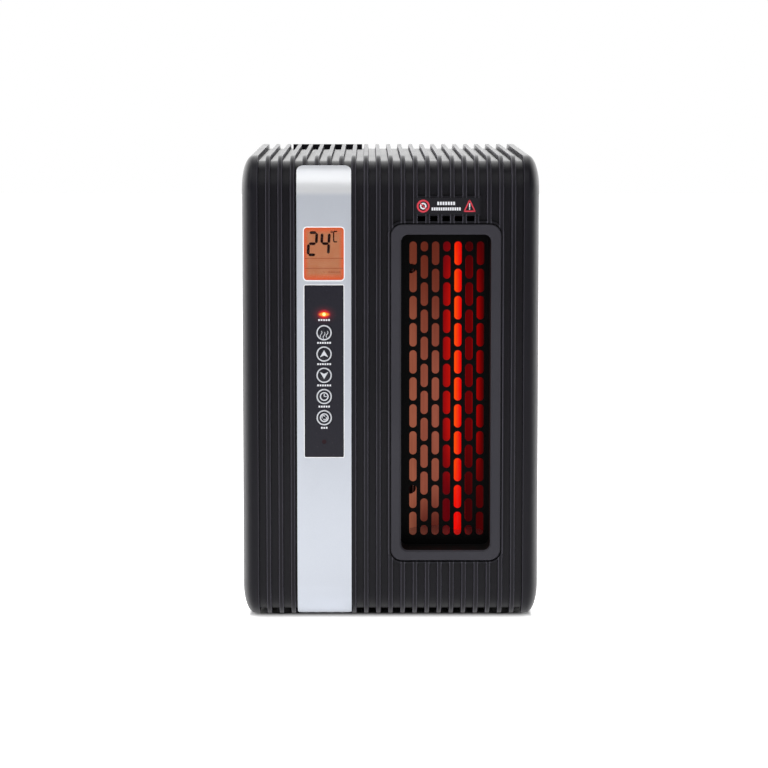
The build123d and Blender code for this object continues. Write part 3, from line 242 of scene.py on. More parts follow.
# ------------------------------------------------------------------ finishes
def moulded_plastic(name, colour, roughness, grain=1500.0, relief=0.03, painted_edge_highlight=None):
    """Moulded plastic with a spark-eroded grain, faint flow marks and slightly uneven gloss.

    A second colour, if given, is painted as thin highlight stripes on the ribs' crest edges, over the front
    and top.
    """
    finish = Finish(name, Specular_IOR_Level=0.16)
    grain_height = finish.noise(grain, 3.0, 0.6)
    clouds = finish.noise(14.0, 3.0, 0.55)
    flow = finish.noise(60.0, 2.0, 0.5, (1, 1, 0.08))
    shade = clouds * 0.5 + flow * 0.5
    dark = tuple(c * 0.82 for c in colour)
    light = tuple(c * 1.22 for c in colour)
    tone = finish.blend(shade.step(0.3, 0.7), dark, light)
    if painted_edge_highlight:
        sideways, depth, _ = finish.axes()
        off_crest = sideways.off_nearest(RIB_PITCH)
        ribbed = abs(sideways).step(RIBBED_HALF + 3 * MM, RIBBED_HALF) * depth.step(110 * MM, 90 * MM)
        # painted highlight: thin stripes along both edges of each rib's crest, where its rounded edges catch
        # light
        edge = off_crest.step(CREST_HALF - 0.6 * MM, CREST_HALF - 0.3 * MM)
        edge = edge * off_crest.step(CREST_HALF + 0.3 * MM, CREST_HALF + 0.1 * MM) * ribbed
        tone = finish.blend(edge * (0.6 + clouds * 0.6), tone, painted_edge_highlight)
    finish.feed(Base_Color=tone)
    finish.feed(Roughness=roughness + (clouds - 0.5) * 0.12 + (grain_height - 0.5) * 0.1)
    finish.emboss(grain_height, relief * MM)
    return finish


def silver_lacquer():
    """Silver lacquer: fine metal flakes under a thin satin coat, with a paler band painted as a highlight
    where it rolls over the top.
    """
    finish = Finish("silver_lacquer", Metallic=0.62, Coat_Weight=0.25, Coat_Roughness=0.3)
    flakes = finish.cells(5200.0)
    clouds = finish.noise(9.0, 2.0)
    base = screen(178, 183, 193)
    pale = screen(198, 202, 209)
    flat = finish.blend(flakes * 0.6 + clouds * 0.4, base, pale)
    height = finish.axes((0, 0, top_z - STRIP_BEND))[2]
    # painted highlight: paler just where the strip starts to roll over, fading towards the top
    painted_rollover_highlight = height.step(-2.4 * MM, 2.4 * MM) * (height.step(STRIP_BEND, 10 * MM) * 0.7 + 0.3)
    finish.feed(Base_Color=finish.blend(painted_rollover_highlight, flat, (0.66, 0.67, 0.69)))
    finish.feed(Roughness=0.36 + (flakes - 0.5) * 0.08 + (clouds - 0.5) * 0.06)
    finish.emboss(flakes, 0.004 * MM)
    return finish


def bezel_plastic():
    """Dark grey satin plastic on the face; the throat behind it is painted black as shade."""
    finish = moulded_plastic("bezel_plastic", screen(52, 51, 57), 0.42)
    depth = finish.axes((0, front_y, 0))[1]
    face = finish.blend(finish.noise(14.0, 3.0), screen(46, 45, 51), screen(55, 54, 60))
    # painted shade: black and rougher from a little behind the face inwards
    painted_throat_shade = depth.step(1.3 * MM, 3.0 * MM)
    finish.feed(Base_Color=finish.blend(painted_throat_shade, face, (0.001, 0.001, 0.001)))
    finish.feed(Roughness=0.42 + painted_throat_shade * 0.4)
    return finish


def gloss_overlay():
    """Smoked gloss sheet, lit red round the lamp."""
    finish = Finish("gloss_overlay", Specular_IOR_Level=0.22)
    sideways, _, height = finish.axes(tuple(led_mid))
    spread = (sideways * sideways * 0.55 + height * height) ** 0.5
    oval = (sideways * sideways * 0.14 + height * height) ** 0.5
    haze = spread.step(9 * MM, 0.5 * MM)
    halo = spread.step(4.0 * MM, 1.0 * MM)
    core = oval.step(1.7 * MM, 0.8 * MM)
    specks = finish.noise(700.0, 2.0)
    finish.feed(Base_Color=finish.blend(specks, screen(24, 23, 32), screen(30, 29, 38)))
    finish.feed(Roughness=0.2 + specks * 0.1)
    ember = finish.blend(haze * haze, (0.0, 0.0, 0.0), screen(92, 4, 16))
    red = finish.blend(halo, ember, screen(244, 8, 10))
    finish.feed(Emission_Color=finish.blend(core, red, screen(255, 150, 24)))
    finish.feed(Emission_Strength=1.0)
    finish.emboss(specks, 0.003 * MM)
    return finish


def key_plastic():
    """Gloss key cap with a trace of handling on it."""
    finish = Finish("key_plastic", Specular_IOR_Level=0.25)
    smear = finish.noise(260.0, 3.0, 0.6)
    finish.feed(Base_Color=finish.blend(smear, screen(22, 22, 29), screen(32, 32, 40)))
    finish.feed(Roughness=0.2 + smear * 0.14)
    finish.emboss(smear, 0.004 * MM)
    return finish


def lamp_glow():
    """Lit lamp: yellow-white at the chip and orange at the rim."""
    finish = Finish("lamp_glow", Roughness=0.2)
    sideways, _, height = finish.axes(tuple(led_mid))
    spread = (sideways * sideways + height * height) ** 0.5
    heat = spread.step(1.6 * MM, 0.3 * MM)
    finish.feed(Base_Color=finish.blend(heat, (0.5, 0.02, 0.01), (0.9, 0.5, 0.1)))
    finish.feed(Emission_Color=finish.blend(heat, (1.0, 0.3, 0.03), (1.0, 0.75, 0.3)))
    finish.feed(Emission_Strength=1.5)
    return finish


def dark_window():
    """The receiver's dark red window."""
    finish = Finish("dark_window", Specular_IOR_Level=0.15)
    haze = finish.noise(900.0)
    finish.feed(Base_Color=finish.blend(haze, (0.012, 0.003, 0.006), (0.022, 0.006, 0.01)))
    finish.feed(Roughness=0.12 + haze * 0.1)
    return finish


def printing_ink(name, colour, gloss=0.5):
    """Screen-printed ink with a slightly uneven film."""
    finish = Finish(name, Specular_IOR_Level=gloss)
    film = finish.noise(1800.0, 2.0)
    finish.feed(Base_Color=finish.blend(film, tuple(c * 0.86 for c in colour), colour))
    finish.feed(Roughness=0.38 + film * 0.2)
    finish.emboss(film, 0.003 * MM)
    return finish


def display_glow():
    """Backlit amber film: redder at the rim, paler at the middle, over a faint cell pattern."""
    finish = Finish("display_glow", Specular_IOR_Level=0.2)
    sideways, _, height = finish.axes(tuple(display_mid))
    half = display_size / 2
    edge = (abs(sideways) / half[0]).most(abs(height) / half[2])
    border = edge.step(0.7, 1.0)
    clouds = finish.noise(160.0, 3.0, 0.6)
    mottle = finish.blend(clouds.step(0.3, 0.7), screen(178, 98, 56), screen(186, 116, 76))
    amber = finish.blend(border, mottle, screen(222, 86, 44))
    finish.feed(Base_Color=finish.blend(border, (0.2, 0.09, 0.05), (0.3, 0.06, 0.02)))
    finish.feed(Roughness=0.35 + clouds * 0.2, Emission_Color=amber, Emission_Strength=0.66)
    return finish


def display_ink():
    """Dark liquid-crystal segments."""
    finish = Finish("display_ink", Specular_IOR_Level=0.1)
    grain = finish.noise(1500.0)
    finish.feed(Base_Color=finish.blend(grain, (0.008, 0.001, 0.002), (0.016, 0.002, 0.002)))
    finish.feed(Roughness=0.5 + grain * 0.2)
    return finish


def faint_ink():
    """Unlit display marks, a little darker than the film."""
    finish = Finish("faint_ink", Emission_Strength=0.4)
    grain = finish.noise(1200.0)
    finish.feed(Base_Color=finish.blend(grain, (0.2, 0.04, 0.015), (0.26, 0.06, 0.02)))
    finish.feed(Emission_Color=finish.blend(grain, (0.3, 0.05, 0.015), (0.36, 0.07, 0.02)))
    return finish


def clear_sheet(name, roughness, ior):
    """Clear sheet with a few faint wipe marks in its gloss."""
    finish = Finish(name, Transmission_Weight=1.0, IOR=ior)
    wipe = finish.noise(120.0, 3.0, 0.6, (1, 1, 0.2))
    finish.feed(Base_Color=finish.blend(wipe, (0.93, 0.94, 0.94), (0.99, 0.99, 0.99)))
    finish.feed(Roughness=roughness + wipe.step(0.55, 0.8) * 0.04)
    return finish


def enamel_black():
    """Stoved black enamel with a faint orange-peel."""
    finish = Finish("enamel_black", Specular_IOR_Level=0.06)
    peel = finish.noise(520.0, 2.0, 0.5)
    finish.feed(Base_Color=finish.blend(peel, (0.0012, 0.0011, 0.0012), (0.002, 0.0018, 0.0018)))
    finish.feed(Roughness=0.6 + (peel - 0.5) * 0.14)
    finish.emboss(peel, 0.012 * MM)
    return finish


def painted_brown_glow(finish, sideways, rise):
    """The tube's light painted on the sheet as brown glow away from the tube: darker towards both ends and
    paler at its left edge.
    """
    upper = rise.step(1.0, -0.15)
    lower = rise.step(-1.04, -0.72)
    brown = finish.blend(upper, screen(102, 42, 28), screen(160, 90, 70))
    brown = finish.blend(lower, screen(84, 34, 28), brown)
    edge = sideways.step(-24 * MM, -34 * MM) * (upper * 0.4 + 0.15)
    return finish.blend(edge, brown, screen(186, 114, 86))


def painted_red_glow(finish, sideways, rise):
    """The tube's light painted on the sheet as red glow near the tube: bright to its left, dark behind its
    right, and lit again beyond it.
    """
    ends = abs(rise - 0.12).step(0.98, 0.3)
    red = finish.blend(ends, screen(104, 0, 10), screen(156, 0, 8))
    red = finish.blend(sideways.step(-12 * MM, -4 * MM) * ends, red, screen(222, 18, 4))
    dark = finish.blend(ends, screen(58, 4, 8), screen(112, 1, 6))
    red = finish.blend(sideways.step(1 * MM, 5 * MM), red, dark)
    beyond = finish.blend(sideways.step(12.5 * MM, 18 * MM), screen(186, 4, 2), screen(72, 0, 2))
    beyond = finish.blend(ends, screen(74, 4, 6), beyond)
    return finish.blend(sideways.step(9.4 * MM, 11 * MM), red, beyond)


def copper_with_painted_glow():
    """Copper sheet: rolled grain and heat tint, with the tube's light painted on as glow, red beside the tube
    and dull brown away from it.
    """
    finish = Finish("copper_with_painted_glow", Metallic=0.3, Specular_IOR_Level=0.2)
    sideways, _, height = finish.axes(tuple(tube_mid))
    rise = height / ((reflector_high[2] - reflector_low[2]) / 2)
    beside = sideways.step(-13.4 * MM, -11.6 * MM)
    grain = finish.noise(420.0, 3.0, 0.6, (1, 1, 0.05))
    tint = finish.noise(26.0, 4.0, 0.6, (1, 1, 0.5))
    sheet = finish.blend(grain * 0.6, screen(70, 34, 25), screen(46, 22, 16))
    finish.feed(Base_Color=finish.blend(beside, sheet, (0.008, 0.001, 0.001)))
    finish.feed(Roughness=0.5 + grain * 0.16 + (tint - 0.5) * 0.1)
    streaks = grain * 0.5 + (tint - 0.5) * 0.9
    brown = finish.blend(streaks, painted_brown_glow(finish, sideways, rise), screen(92, 36, 26))
    red = finish.blend(grain * 0.3, painted_red_glow(finish, sideways, rise), screen(70, 0, 2))
    # painted light: the tube's light on the sheet, given as emission
    finish.feed(Emission_Color=finish.blend(beside, brown, red), Emission_Strength=0.8)
    finish.emboss(grain, 0.01 * MM)
    return finish


def tube_light(finish, flank, hot, cool):
    """The coil's light: a left and a right colour at working heat, and another such pair towards the ends.

    The left colour turns into the right one between the two places of the flank.
    """
    sideways, _, height = finish.axes(tuple(tube_mid))
    across = sideways.step(*flank)
    half = (coil_high[2] - coil_low[2]) / 2
    middle_part = abs(height / half - 0.12).step(0.92, 0.5)
    return finish.blend(middle_part, finish.blend(across, *cool), finish.blend(across, *hot))


def glowing_wire():
    """Coil at working heat: amber on its left flank, red on the right, and redder at the ends."""
    finish = Finish("glowing_wire", Roughness=0.6, Specular_IOR_Level=0.1)
    scale = finish.noise(900.0, 2.0)
    hot = (screen(255, 120, 16), screen(255, 14, 2))
    cool = (screen(255, 40, 24), screen(240, 2, 2))
    light = tube_light(finish, (-3.2 * MM, 2.2 * MM), hot, cool)
    finish.feed(Base_Color=finish.blend(scale, (0.1, 0.01, 0.005), (0.06, 0.008, 0.004)))
    finish.feed(Emission_Color=light, Emission_Strength=1.0)
    return finish


def hot_quartz():
    """Quartz tube, clear but flooded with the coil's light: amber on the left, red on the right."""
    finish = Finish("hot_quartz", Transmission_Weight=0.35, IOR=1.3, Specular_IOR_Level=0.1)
    draw = finish.noise(300.0, 2.0, 0.5, (1, 1, 0.02))
    hot = (screen(255, 92, 10), screen(222, 2, 2))
    cool = (screen(246, 12, 6), screen(206, 0, 0))
    flood = tube_light(finish, (-4.0 * MM, 1.4 * MM), hot, cool)
    finish.feed(Base_Color=finish.blend(draw, (0.3, 0.02, 0.01), (0.24, 0.015, 0.01)))
    finish.feed(Roughness=0.2 + draw * 0.1)
    finish.feed(Emission_Color=finish.blend(draw * 0.25, flood, screen(225, 8, 0)), Emission_Strength=0.8)
    return finish


def unglazed_ceramic():
    """Steatite: chalky and faintly speckled, with darker clouds."""
    finish = Finish("unglazed_ceramic")
    speck = finish.cells(1600.0)
    clouds = finish.noise(220.0, 3.0)
    finish.feed(Base_Color=finish.blend(clouds, screen(214, 208, 196), screen(184, 174, 160)))
    finish.feed(Roughness=0.7 + speck * 0.15)
    finish.emboss(speck, 0.02 * MM)
    return finish


def plated_sheet(name, colour, roughness):
    """Zinc-plated or mill sheet: rolling lines and cloudy spangle."""
    finish = Finish(name, Metallic=1.0)
    spangle = finish.cells(150.0)
    rolled = finish.noise(700.0, 2.0, 0.5, (1, 1, 0.03))
    dark = tuple(c * 0.8 for c in colour)
    finish.feed(Base_Color=finish.blend(spangle * 0.5 + rolled * 0.4, dark, colour))
    finish.feed(Roughness=roughness + (rolled - 0.5) * 0.16)
    finish.emboss(rolled, 0.006 * MM)
    return finish


def turned_metal(name, colour, roughness):
    """Ground or turned metal, with fine rings across the axis."""
    finish = Finish(name, Metallic=1.0)
    rings = finish.noise(900.0, 2.0, 0.5, (0.05, 0.05, 1))
    finish.feed(Base_Color=finish.blend(rings, tuple(c * 0.82 for c in colour), colour))
    finish.feed(Roughness=roughness + rings * 0.12)
    finish.emboss(rings, 0.004 * MM)
    return finish


def board_laminate():
    """Green solder mask with faint tracks under it."""
    finish = Finish("board_laminate", Coat_Weight=0.4, Coat_Roughness=0.15)
    tracks = finish.node(
        "ShaderNodeTexBrick",
        inputs={
            "Vector": finish.place(), "Scale": 160.0, "Mortar Size": 0.03,
            "Color1": (0.012, 0.09, 0.03, 1), "Color2": (0.016, 0.12, 0.04, 1),
            "Mortar": (0.05, 0.2, 0.06, 1),
        },
    )
    weave = finish.noise(1400.0)
    finish.feed(Base_Color=finish.blend(weave * 0.4, tracks, (0.006, 0.05, 0.02)))
    finish.feed(Roughness=0.35 + weave * 0.1)
    finish.emboss(weave, 0.01 * MM)
    return finish


def soft_rubber():
    """Matt black rubber with dust on it."""
    finish = Finish("soft_rubber", Specular_IOR_Level=0.3)
    dust = finish.noise(500.0, 4.0, 0.7)
    finish.feed(Base_Color=finish.blend(dust, (0.012, 0.012, 0.013), (0.035, 0.034, 0.033)))
    finish.feed(Roughness=0.75 + dust * 0.15)
    finish.emboss(dust, 0.03 * MM)
    return finish


def filter_fibre():
    """Non-woven mat: tangled pale fibres with grey dust in the folds."""
    finish = Finish("filter_fibre", Sheen_Weight=0.3, Roughness=0.9)
    fibre = finish.noise(1900.0, 4.0, 0.75, (1, 1, 0.4))
    dust = finish.noise(40.0, 4.0, 0.6)
    clean = finish.blend(fibre, screen(150, 152, 150), screen(206, 207, 203))
    finish.feed(Base_Color=finish.blend(dust.step(0.45, 0.75) * 0.5, clean, screen(96, 94, 90)))
    finish.emboss(fibre, 0.15 * MM)
    return finish


finishes = {
    # the second colour is a painted highlight on the ribs' crest edges
    "shell_black": moulded_plastic("shell_black", screen(16, 15, 21), 0.36, painted_edge_highlight=screen(66, 64, 72)),
    "bezel_grey": bezel_plastic(),
    "fascia_silver": silver_lacquer(),
    "window_clear": clear_sheet("window_clear", 0.02, 1.12),
    "display_orange": display_glow(),
    "overlay_black": gloss_overlay(),
    "key_black": key_plastic(),
    "lamp_red": lamp_glow(),
    "sensor_dark": dark_window(),
    "badge_black": printing_ink("badge_black", screen(26, 25, 30), 0.14),
    "guard_black": enamel_black(),
    "zinc_steel": plated_sheet("zinc_steel", (0.62, 0.63, 0.64), 0.36),
    "copper": copper_with_painted_glow(),
    "quartz": hot_quartz(),
    "coil_wire": glowing_wire(),
    "ceramic_white": unglazed_ceramic(),
    "rotor_alu": plated_sheet("rotor_alu", (0.66, 0.67, 0.69), 0.3),
    "shaft_steel": turned_metal("shaft_steel", (0.55, 0.55, 0.56), 0.2),
    "motor_steel": moulded_plastic("motor_steel", (0.03, 0.03, 0.034), 0.35),
    "bearing_bronze": turned_metal("bearing_bronze", (0.55, 0.36, 0.18), 0.35),
    "nylon_black": moulded_plastic("nylon_black", (0.012, 0.012, 0.013), 0.5, 900.0, 0.04),
    "board_green": board_laminate(),
    "part_black": moulded_plastic("part_black", (0.02, 0.02, 0.022), 0.45),
    "block_cream": moulded_plastic("block_cream", screen(214, 206, 184), 0.45),
    "rubber_black": soft_rubber(),
    "filter_grey": filter_fibre(),
    "switch_black": moulded_plastic("switch_black", (0.01, 0.01, 0.011), 0.22, 2200.0, 0.008),
}
silver_ink = printing_ink("silver_ink", screen(206, 208, 214))
white_ink = printing_ink("white_ink", screen(226, 227, 232))
red_ink = printing_ink("red_ink", screen(205, 44, 62))
# near-white ink painted as a highlight on the polished rims
painted_rim_highlight = printing_ink("painted_rim_highlight", (0.95, 0.95, 0.97))
segment_ink = display_ink()
pale_segment = faint_ink()

slot_of = {row["node"]: row["material_slot"] for row in frame["record"]["subparts"]}
SHARP = math.radians(32)


def dress_cad_nodes():
    """Every CAD node gets its slot's finish, and smooth shading up to a sharp angle."""
    for name, obj in nodes.items():
        obj.data.materials.clear()
        obj.data.materials.append(finishes[slot_of[name]].material)
        obj.data.polygons.foreach_set("use_smooth", np.ones(len(obj.data.polygons), bool))
        weld = obj.modifiers.new("join_triangles", "WELD")
        weld.merge_threshold = 1e-6
        split = obj.modifiers.new("sharp_edges", "EDGE_SPLIT")
        split.split_angle = SHARP


# ------------------------------------------------------------------ mesh making
def new_piece(name, points, faces, finish, body, slot, smooth=False):
    """A piece from arrays of points and of faces, riding on a body."""
    mesh = bpy.data.meshes.new(name)
    mesh.from_pydata([tuple(point) for point in points], [], [tuple(int(i) for i in face) for face in faces])
    mesh.polygons.foreach_set("use_smooth", np.full(len(mesh.polygons), smooth))
    mesh.materials.append(finish.material)
    mesh.update()
    obj = bpy.data.objects.new(name, mesh)
    bpy.context.scene.collection.objects.link(obj)
    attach(obj, body)
    return obj


def grid_faces(rows, columns, close_rows=False, close_columns=False):
    """The quads of a grid of points, row by row, joined round in either direction."""
    r = np.arange(rows if close_rows else rows - 1)
    c = np.arange(columns if close_columns else columns - 1)
    r, c = np.meshgrid(r, c, indexing="ij")
    r_next, c_next = (r + 1) % rows, (c + 1) % columns
    quad = [r * columns + c, r * columns + c_next, r_next * columns + c_next, r_next * columns + c]
    return np.stack([corner.ravel() for corner in quad], axis=1)


def at_depth(outline, y):
    """An outline's (x, z) points as (x, y, z) points at one depth."""
    return np.column_stack([outline[:, 0], np.full(len(outline), y), outline[:, 1]])


def stroke(points, width, y, thickness):
    """A flat printed stroke in the XZ plane: a rectangle carried along a line of (x, z) points.

    At each point the line's own normal, mitred between its two runs, carries four corners: half the width
    to each side, at the depths y and y - thickness.
    """
    line = np.asarray(points, float)
    run = np.diff(line, axis=0)
    run /= np.linalg.norm(run, axis=1)[:, None]
    before, after = np.vstack([run[:1], run]), np.vstack([run, run[-1:]])
    along = before + after
    along /= np.linalg.norm(along, axis=1)[:, None]
    normal = np.stack([-along[:, 1], along[:, 0]], axis=1)
    half = width / 2 / np.clip(np.sum(along * before, axis=1), 0.4, 1.0)[:, None]
    left, right = line + normal * half, line - normal * half
    corners_2d = [(left, y), (right, y), (right, y - thickness), (left, y - thickness)]
    rings = np.stack([at_depth(side, depth) for side, depth in corners_2d], axis=1)
    faces = grid_faces(len(line), 4, close_columns=True)
    last = (len(line) - 1) * 4
    ends = np.array([[3, 2, 1, 0], [last, last + 1, last + 2, last + 3]])
    return rings.reshape(-1, 3), np.vstack([faces, ends])


def disc_ring(centre, inner, outer, y, thickness, count=64):
    """A flat ring in the XZ plane: a rectangle turned once round a centre."""
    turn = np.linspace(0, 2 * np.pi, count, endpoint=False)
    profile = [(inner, y), (outer, y), (outer, y - thickness), (inner, y - thickness)]
    rings = [
        np.column_stack([centre[0] + r * np.cos(turn), np.full(count, d), centre[1] + r * np.sin(turn)])
        for r, d in profile
    ]
    points = np.stack(rings, axis=1).reshape(-1, 3)
    return points, grid_faces(count, 4, close_rows=True, close_columns=True)


def joined(parts):
    """Several (points, faces) pairs as one."""
    points, faces, start = [], [], 0
    for part_points, part_faces in parts:
        points.append(part_points)
        faces += [[int(i) + start for i in face] for face in part_faces]
        start += len(part_points)
    return np.vstack(points), faces


def outward(obj):
    """Turns every face of a closed piece to point out."""
    shape = bmesh.new()
    shape.from_mesh(obj.data)
    bmesh.ops.recalc_face_normals(shape, faces=shape.faces)
    shape.to_mesh(obj.data)
    shape.free()
    return obj


def printed(name, parts, finish, body, slot):
    """One piece from several closed (points, faces) pairs."""
    points, faces = joined(parts)
    return outward(new_piece(name, points, faces, finish, body, slot))


# ------------------------------------------------------------------ display
FILM = 0.16 * MM             # thickness of the lit film
INK = 0.04 * MM              # thickness of the dark segments
FAINT_INK = 0.03 * MM        # thickness of the unlit marks
SEGMENT_WIDTH = 1.95 * MM
DISPLAY_CORNER = 2.35 * MM
film_y = window_high[1] - 0.05 * MM
ink_back = film_y - FILM - 0.002 * MM


def rounded_rectangle(centre, width, height, radius, count=10):
    """Points round a rectangle whose corners are quarter circles, anticlockwise from the front."""
    turn = np.linspace(0, np.pi / 2, count)
    x_side, z_side = width / 2 - radius, height / 2 - radius
    outline = []
    for index, (sx, sz) in enumerate([(1, 1), (-1, 1), (-1, -1), (1, -1)]):
        angle = turn + index * np.pi / 2
        x, z = sx * x_side + radius * np.cos(angle), sz * z_side + radius * np.sin(angle)
        outline.append(np.column_stack([x, z]))
    return np.vstack(outline) + np.asarray(centre)


def slab(outline, y_back, y_front, edge=0.0):
    """A plate whose outline lies in the XZ plane, with a small bevel of a given size round its front."""
    middle_point = outline.mean(axis=0)
    reach = outline - middle_point
    shrink = 1 - edge / np.abs(reach).max(axis=0)
    loops = [(outline, y_back), (outline, y_front + edge), (middle_point + reach * shrink, y_front)]
    points = np.vstack([at_depth(loop, y) for loop, y in loops])
    count = len(outline)
    sides = grid_faces(len(loops), count, close_columns=True)
    back = list(range(count))[::-1]
    front_face = [2 * count + i for i in range(count)]
    return points, [list(face) for face in sides] + [back, front_face]


def segment(start, end, width):
    """A display bar with pointed ends: a line whose ends narrow to a point."""
    start, end = np.asarray(start, float), np.asarray(end, float)
    along = (end - start) / np.linalg.norm(end - start)
    normal = np.array([-along[1], along[0]])
    half = width / 2
    tip = along * half * 0.9
    return np.array([start, start + tip + normal * half, end - tip + normal * half, end,
                     end - tip - normal * half, start + tip - normal * half])


SEGMENTS = {
    "top": ((0, 2), (1, 2)), "upper_left": ((0, 1), (0, 2)), "upper_right": ((1, 1), (1, 2)),
    "middle": ((0, 1), (1, 1)), "lower_left": ((0, 0), (0, 1)), "lower_right": ((1, 0), (1, 1)),
    "bottom": ((0, 0), (1, 0)),
}
DIGITS = {
    2: ["top", "upper_right", "middle", "lower_left", "bottom"],
    4: ["upper_left", "upper_right", "middle", "lower_right"],
}


def digit(value, left, bottom, width, height, bar):
    """The seven-segment bars of a digit, leaning slightly to the right."""
    lean = math.tan(math.radians(3))
    parts = []
    for name in DIGITS[value]:
        ends = []
        for u, v in SEGMENTS[name]:
            z = bottom + v * height / 2
            ends.append((left + u * width + (z - bottom) * lean, z))
        start, end = np.array(ends[0]), np.array(ends[1])
        gap = (end - start) / np.linalg.norm(end - start) * bar * 0.1
        parts.append(segment(start + gap, end - gap, bar))
    return parts


def reading_marks(left, top):
    """24, a degree ring and a square C: bars, one stroke through six points, and a ring."""
    digits = digit(2, left + 3.0 * MM, top - 19.4 * MM, 5.4 * MM, 15.6 * MM, SEGMENT_WIDTH)
    digits += digit(4, left + 12.2 * MM, top - 18.9 * MM, 5.0 * MM, 14.8 * MM, SEGMENT_WIDTH)
    parts = [slab(bar, ink_back, ink_back - INK) for bar in digits]
    unit_left, unit_top = left + 21.0 * MM, top - 3.0 * MM
    reach, cut, height = 2.5 * MM, 0.5 * MM, 7.3 * MM
    unit = [(unit_left + reach, unit_top), (unit_left + cut, unit_top), (unit_left, unit_top - 0.6 * MM),
            (unit_left, unit_top - 6.6 * MM), (unit_left + cut, unit_top - height),
            (unit_left + reach, unit_top - height)]
    parts.append(stroke(unit, 0.9 * MM, ink_back, INK))
    degree = (unit_left - 1.4 * MM, unit_top - 0.3 * MM)
    parts.append(disc_ring(degree, 0.35 * MM, 0.85 * MM, ink_back, INK, 24))
    return parts


def rule_marks(left, top):
    """Two rules across the film, and under them a row of five short bars and a slanted tick."""
    rules = []
    for drop in (21.9, 28.9):
        z = top - drop * MM
        across = [(left + 0.8 * MM, z), (left + display_size[0] - 0.8 * MM, z)]
        rules.append(stroke(across, 0.6 * MM, ink_back, FAINT_INK))
    for index in range(5):
        x, z = left + (17.4 + 1.75 * index) * MM, top - 31.6 * MM
        rules.append(stroke([(x, z), (x + 1.1 * MM, z)], 1.3 * MM, ink_back, FAINT_INK))
    tick = [(left + 13.4 * MM, top - 31.0 * MM), (left + 14.6 * MM, top - 32.0 * MM)]
    rules.append(stroke(tick, 0.5 * MM, ink_back, FAINT_INK))
    return rules


def build_display():
    """The lit film, the clear lens before it, and the reading and rules printed on the film."""
    outline = rounded_rectangle(display_mid[[0, 2]], display_size[0], display_size[2], DISPLAY_CORNER)
    film = slab(outline, film_y + 0.03 * MM, film_y - FILM)
    outward(new_piece("display_film", *film, finishes["display_orange"], "casing", "display_orange"))
    cover = slab(outline, film_y - FILM - 0.1 * MM, window_low[1], 0.3 * MM)
    lens = outward(new_piece("display_lens", *cover, finishes["window_clear"], "casing", "window_clear"))
    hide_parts("display_window")
    left = display_mid[0] - display_size[0] / 2
    top = display_mid[2] + display_size[2] / 2
    printed("display_digits", reading_marks(left, top), segment_ink, "casing", "display_orange")
    printed("display_rules", rule_marks(left, top), pale_segment, "casing", "display_orange")


def rim(name, part, overlap, width, radius):
    """A thin raised border round a part: a low crowned section carried round a rounded rectangle."""
    low, high = corners(part)
    centre = ((low + high) / 2)[[0, 2]]
    section = [(-overlap, 0.0), (-overlap, 0.11 * MM), (width / 2 - overlap, 0.16 * MM),
               (width - overlap, 0.11 * MM), (width - overlap, -0.3 * MM)]
    rings = []
    for grown, rise in section:
        wide, tall = high[0] - low[0] + 2 * grown, high[2] - low[2] + 2 * grown
        rings.append(at_depth(rounded_rectangle(centre, wide, tall, radius + grown), strip_face - rise))
    points = np.stack(rings, axis=1).reshape(-1, 3)
    faces = grid_faces(len(rings[0]), len(rings), close_rows=True, close_columns=True)
    # the near-white finish is a painted highlight
    outward(new_piece(name, points, faces, painted_rim_highlight, "casing", "fascia_silver", True))


def build_rims():
    """The borders of the display and of the keypad, near-white as a painted highlight of their polished
    edges.
    """
    rim("display_rim", "display_window", 0.15 * MM, 0.75 * MM, 2.4 * MM)
    rim("overlay_rim", "keypad_overlay", 0.1 * MM, 0.5 * MM, 1.0 * MM)


# ------------------------------------------------------------------ keys and their marks
PRINT = 0.03 * MM            # thickness of the printing
PRINT_SINK = 0.005 * MM      # how far the printing reaches into what carries it


def arc(centre, radius, start, end, count=32):
    """Points on a circle between two angles in degrees."""
    turn = np.radians(np.linspace(start, end, count))
    return np.column_stack([centre[0] + radius * np.cos(turn), centre[1] + radius * np.sin(turn)])


def heat_icon(x, z, y):
    """Three rising waves side by side, each a sine that leans to the right as it rises."""
    parts = []
    for offset in (-2.1, 0.0, 2.1):
        t = np.linspace(0, 1, 26)
        foot = -4.2 + 0.18 * offset * offset
        across = offset + 0.5 * np.sin(2 * np.pi * t + np.pi) + 0.5 * (t - 0.5)
        wave = np.column_stack([x + across * MM, z + (foot + 4.6 * t) * MM])
        parts.append(stroke(wave, 0.42 * MM, y, PRINT))
    return parts


def arrow_icon(x, z, y, way):
    """An arrowhead with a notched tail: two blades that meet on the middle line."""
    tip, wing, notch = 2.7 * way, -2.3 * way, -1.0 * way
    halves = []
    for side in (-1, 1):
        blade = np.array([(0, tip), (side * 2.9, wing), (0, notch)]) * MM + (x, z)
        halves.append(slab(blade, y, y - PRINT))
    return halves


def timer_icon(x, z, y):
    """A clock face: a ring and two hands."""
    hands = [stroke([(x, z), (x, z + 1.9 * MM)], 0.6 * MM, y, PRINT),
             stroke([(x, z), (x + 1.8 * MM, z)], 0.6 * MM, y, PRINT)]
    return [disc_ring((x, z), 2.3 * MM, 3.1 * MM, y, PRINT)] + hands


def eco_icon(x, z, y):
    """A ring round two small facing arcs, like a turning leaf."""
    lobes = [stroke(arc((x - 0.55 * MM, z + 0.5 * MM), 1.05 * MM, 20, 230), 0.6 * MM, y, PRINT),
             stroke(arc((x + 0.55 * MM, z - 0.5 * MM), 1.05 * MM, 200, 410), 0.6 * MM, y, PRINT)]
    return [disc_ring((x, z), 2.3 * MM, 3.1 * MM, y, PRINT)] + lobes


